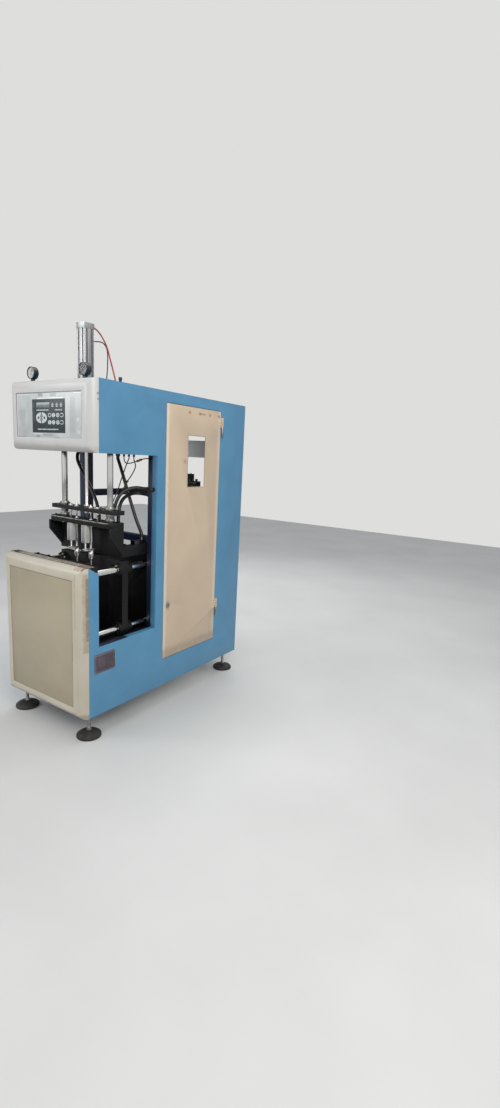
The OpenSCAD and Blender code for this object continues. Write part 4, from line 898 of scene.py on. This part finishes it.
# the dark in the seal cylinders' slots is painted shade
groove_half = 1.9
groove_shade_marks = [
    (((x + p - groove_half) / 1000, FRONT + 0.2355, 1.0072),
     ((x + p + groove_half) / 1000, FRONT + 0.2415, 1.1038), (34, 34, 35), 1.0, 0.0005)
    for x in (-60, 60) for p in (-8, 0, 8)]
finish("seal_cylinders", bare_metal(
    "bright_body", (232, 232, 230), (212, 212, 211), roughness=0.38, brushing=(1, 1, 0.02),
    scale=180, metallic=0.35, marks=groove_shade_marks), edge=0.0004)
finish("stretch_rods blow_nozzle_left blow_nozzle_right", bare_metal(
    "stainless", (228, 227, 224), (196, 194, 191), roughness=0.22, scale=150, metallic=0.75),
    edge=0.0005)
screws("bracket_screws", [
    ("cap", 9, 4, UP, [(x, 258, 1132) for x in (-80, -40, 40, 80)]),
    ("cap", 12, 6, UP, [(x, u, 1132) for x in (-240, 240) for u in (286, 330)])], black_screw)
screws("bracket_bright_screws", [
    ("cap", 13, 5, DOWN, [(-147, 266, 1104)]),
    ("hex", 13, 6, UP, [(x, 318, 1132) for x in (-150, 150)])], bright_screw)
screws("seal_cylinder_screws", [
    ("cap", 5.5, 2.5, FORWARD, [(x + p, 237, z) for x in (-60, 60) for p in (-12, 12)
                                for z in (1013, 1098)])], bright_screw)

# Stretch unit. A flat black crosshead runs on two hard-chromed guide rods and carries the
# stretch rods; the slotted air cylinder on the head lifts and lowers it.
crosshead_top = 1197
finish("crosshead", enamel(
    "crosshead_enamel", (16, 16, 18), (9, 9, 11), (150, 148, 143), roughness=0.45,
    chip_start=0.11, coat=0.03, gloss=0.35), edge=0.0012)
finish("crosshead_bushes", turned_steel, edge=0.0005)
screws("crosshead_screws", [
    ("cap", 7, 4, UP, [(x + across, 312 + along, crosshead_top) for x in (-190, 190)
                       for across, along in bolt_circle(36)]),
    ("hex", 13, 6, UP, [(x, u, crosshead_top) for x in (-95, 95) for u in (290, 330)])],
    bright_screw, "crosshead")
screws("rod_lock_nuts", [("hex", 16, 7, UP, [(x, 290, crosshead_top) for x in (-60, 60)])],
       bright_screw, "crosshead")
stop_places = in_metres([(x, 290, 1142) for x in (-113, 113)])
stop_threads = grown(thread_tree, thread_inputs, stop_places, Radius=0.0060, Length=0.022,
                     Turns=12.0, Ridge=0.0008, Finish=bright_screw)
piece("stop_screw_threads", stop_threads, bright_screw, "crosshead")
screws("cylinder_screws", [
    ("cap", 8.5, 4, UP, [(x, u, 2158) for x in (-24.5, 24.5) for u in (287.5, 336.5)]),
    ("cap", 8.5, 5, UP, [(x, u, 1680) for x in (-46, 46) for u in (290, 334)])], black_screw)
screws("head_plate_bolts", [
    ("hex", 19, 9, UP, [(x, u, 1680) for x in (-276, 276) for u in (262, 368)])], zinc)

# Gauges. Two 63 mm pressure gauges on the head: black steel cases, printed dials behind
# glass. The left dial is white; the right one is dark with pale print.
finish("gauge_cases", enamel(
    "gauge_enamel", (28, 28, 29), (19, 19, 20), (86, 86, 86), roughness=0.3), edge=0.0008)
dial, tree, shader, where = new_material("dial_face", Roughness=0.5)
paper = ramp(tree, noise(tree, where, 12.0), 0.35, 0.65, (224, 222, 215), (237, 236, 232))
right_side = patch(tree, where, (0.1, -0.6, 1.8), (0.3, -0.5, 2.0), 0.001)
tree.links.new(over(tree, paper, (46, 46, 47), right_side), shader.inputs["Base Color"])
finish("gauge_dials", dial, edge=0.0)
finish("pointer_left", dark_print, edge=0.0)
finish("pointer_right", white_print, edge=0.0)
finish("gauge_glasses", new_material(
    "gauge_glass", Base_Color=(0.97, 0.99, 0.99, 1), Roughness=0.03, Alpha=0.10)[0], edge=0.0)

tick_tree, tick_inputs, given = begin_tree("dial_ticks", (
    ("Centre", "Geometry", None), ("Count", "Int", 11), ("Ring radius", "Float", 0.022),
    ("Tick length", "Float", 0.003), ("Tick width", "Float", 0.0005),
    ("Sweep", "Float", math.radians(270)), ("Finish", "Material", None)))
add = partial(step, tick_tree)
work_out = partial(math_step, tick_tree)
dots = add("GeometryNodePoints", {"Count": given["Count"]})
number = add("GeometryNodeInputIndex")
share = work_out("DIVIDE", number, work_out("SUBTRACT", given["Count"], 1.0))
angle = work_out("MULTIPLY", work_out("SUBTRACT", share, 0.5), given["Sweep"])
way = add("ShaderNodeCombineXYZ", {
    "X": work_out("SINE", angle), "Z": work_out("COSINE", angle)})
spot = add("ShaderNodeVectorMath", {0: way, "Scale": given["Ring radius"]}, operation="SCALE")
tick_spots = add("GeometryNodeSetPosition", {"Geometry": dots, "Position": spot})
bar_size = add("ShaderNodeCombineXYZ", {
    "X": given["Tick width"], "Y": 0.0003, "Z": given["Tick length"]})
bar = add("GeometryNodeMeshCube", {"Size": bar_size})
lean = add("ShaderNodeCombineXYZ", {"Y": angle})
leaning = add("FunctionNodeEulerToRotation", {0: lean})
ring = add("GeometryNodeInstanceOnPoints", {
    "Points": tick_spots, "Instance": bar, "Rotation": leaning})
end_tree(tick_tree, add("GeometryNodeInstanceOnPoints", {
    "Points": given["Centre"], "Instance": ring}), given["Finish"])

gauge_out, dial_y, gauge_z = 0.209, -0.5375, 1.896
figure_ring, figure_size, print_depth = 0.0158, 0.0062, 0.0001


def full_ring(x, radius, band):
    """Two halves of a ring round a gauge's middle."""
    return [arc_outline(x, gauge_z, radius, radius, band, 180 * k, 180, 32) for k in (0, 1)]


# the white gauge's case is lined with a white ring from its dial to its glass
front_plates("dial_lining", full_ring(-gauge_out, 0.0276, 0.0012), dial_y - 0.0002, -0.5536,
             dial)
for side, gauge_x, ink in (("left", -gauge_out, dark_print), ("right", gauge_out, dim_print)):
    work = bmesh.new()
    for count, radius, length, width in ((11, 0.0208, 0.0036, 0.0008),
                                         (51, 0.0217, 0.0018, 0.0004)):
        take_up(work, grown(
            tick_tree, tick_inputs, [(gauge_x, dial_y, gauge_z)], Count=count,
            Ring_radius=radius, Tick_length=length, Tick_width=width,
            Sweep=math.radians(270), Finish=ink))
    for value in range(0, 11, 2):
        figure = bpy.data.curves.new("figure", "FONT")
        figure.body = str(value)
        figure.size = figure_size
        figure.align_x, figure.align_y = "CENTER", "CENTER"
        figure.extrude = print_depth
        text = placed("figure", figure)
        a = math.radians(-135 + 27 * value)
        mesh = plain_mesh(text)
        mesh.transform(Matrix.Translation((
            gauge_x + figure_ring * math.sin(a), dial_y - print_depth,
            gauge_z + figure_ring * math.cos(a))) @ Matrix.Rotation(math.pi / 2, 4, "X"))
        take_up(work, mesh)
        bpy.data.objects.remove(text)
    name = "dial_print_" + side
    piece(name, mesh_of(work, name), ink, "machine")
    front_plates("dial_ring_" + side, full_ring(gauge_x, 0.0262, 0.0006),
                 dial_y + 0.0001, dial_y - 0.0002, ink)

# Cabinet equipment. Valves on their block, the power supply's box, the air filter and
# the air distribution bar inside the cabinet.
finish("valve_block head_manifold", cast_aluminium, edge=0.0008)
finish("control_unit air_filter", enamel(
    "grey_enamel", (92, 94, 98), (78, 80, 84), (130, 128, 124), roughness=0.45), edge=0.0015)
# the power box's near white is painted light, to keep it bright in the cabinet's shade
finish("power_box", enamel(
    "pale_painted_light_enamel", (246, 245, 241), (238, 236, 231), (190, 186, 180), roughness=0.4),
    edge=0.0015)
moulded, tree, shader, where = new_material("moulded_plastic", Roughness=0.5)
pits = noise(tree, where, 500.0, 2.0)
tree.links.new(ramp(tree, pits, 0.35, 0.65, (20, 20, 21), (34, 34, 36)),
               shader.inputs["Base Color"])
bump_from(tree, shader, pits, 0.15, 0.0003)
finish("solenoid_valves", moulded, edge=0.0012)
finish("hose_fittings", bare_metal(
    "fitting_metal", (84, 84, 83), (54, 54, 54), roughness=0.34), edge=0.0008)
valve_us = (905, 941, 977, 1013)
screws("coil_nuts", [
    ("hex", 11, 4, UP, [(162, u, 1391) for u in valve_us]),
    ("cap", 6, 2, TO_RIGHT, [(232, u + d, z) for u in valve_us for d in (-9, 9)
                             for z in (1319, 1339)])], bright_screw)
screws("power_box_screws", [
    ("cap", 7, 3, FORWARD, [(x, 1129, z) for x in (32, 278) for z in (1509, 1595)])],
    bright_screw)
leaf_zs = (462, 482, 500, 1642, 1662, 1680)
screws("hinge_screws", [
    ("cap", 8, 1.6, TO_RIGHT, [(330.5, 1117, z) for z in leaf_zs]),
    ("cap", 8, 1.6, TO_LEFT, [(-330.5, 1171, z) for z in leaf_zs])], bright_screw)
screws("door_hinge_screws", [
    ("cap", 8, 1.6, TO_RIGHT, [(330.5, 1083, z) for z in (522, 540, 560, 1702, 1720, 1740)])],
    bright_screw, "door")
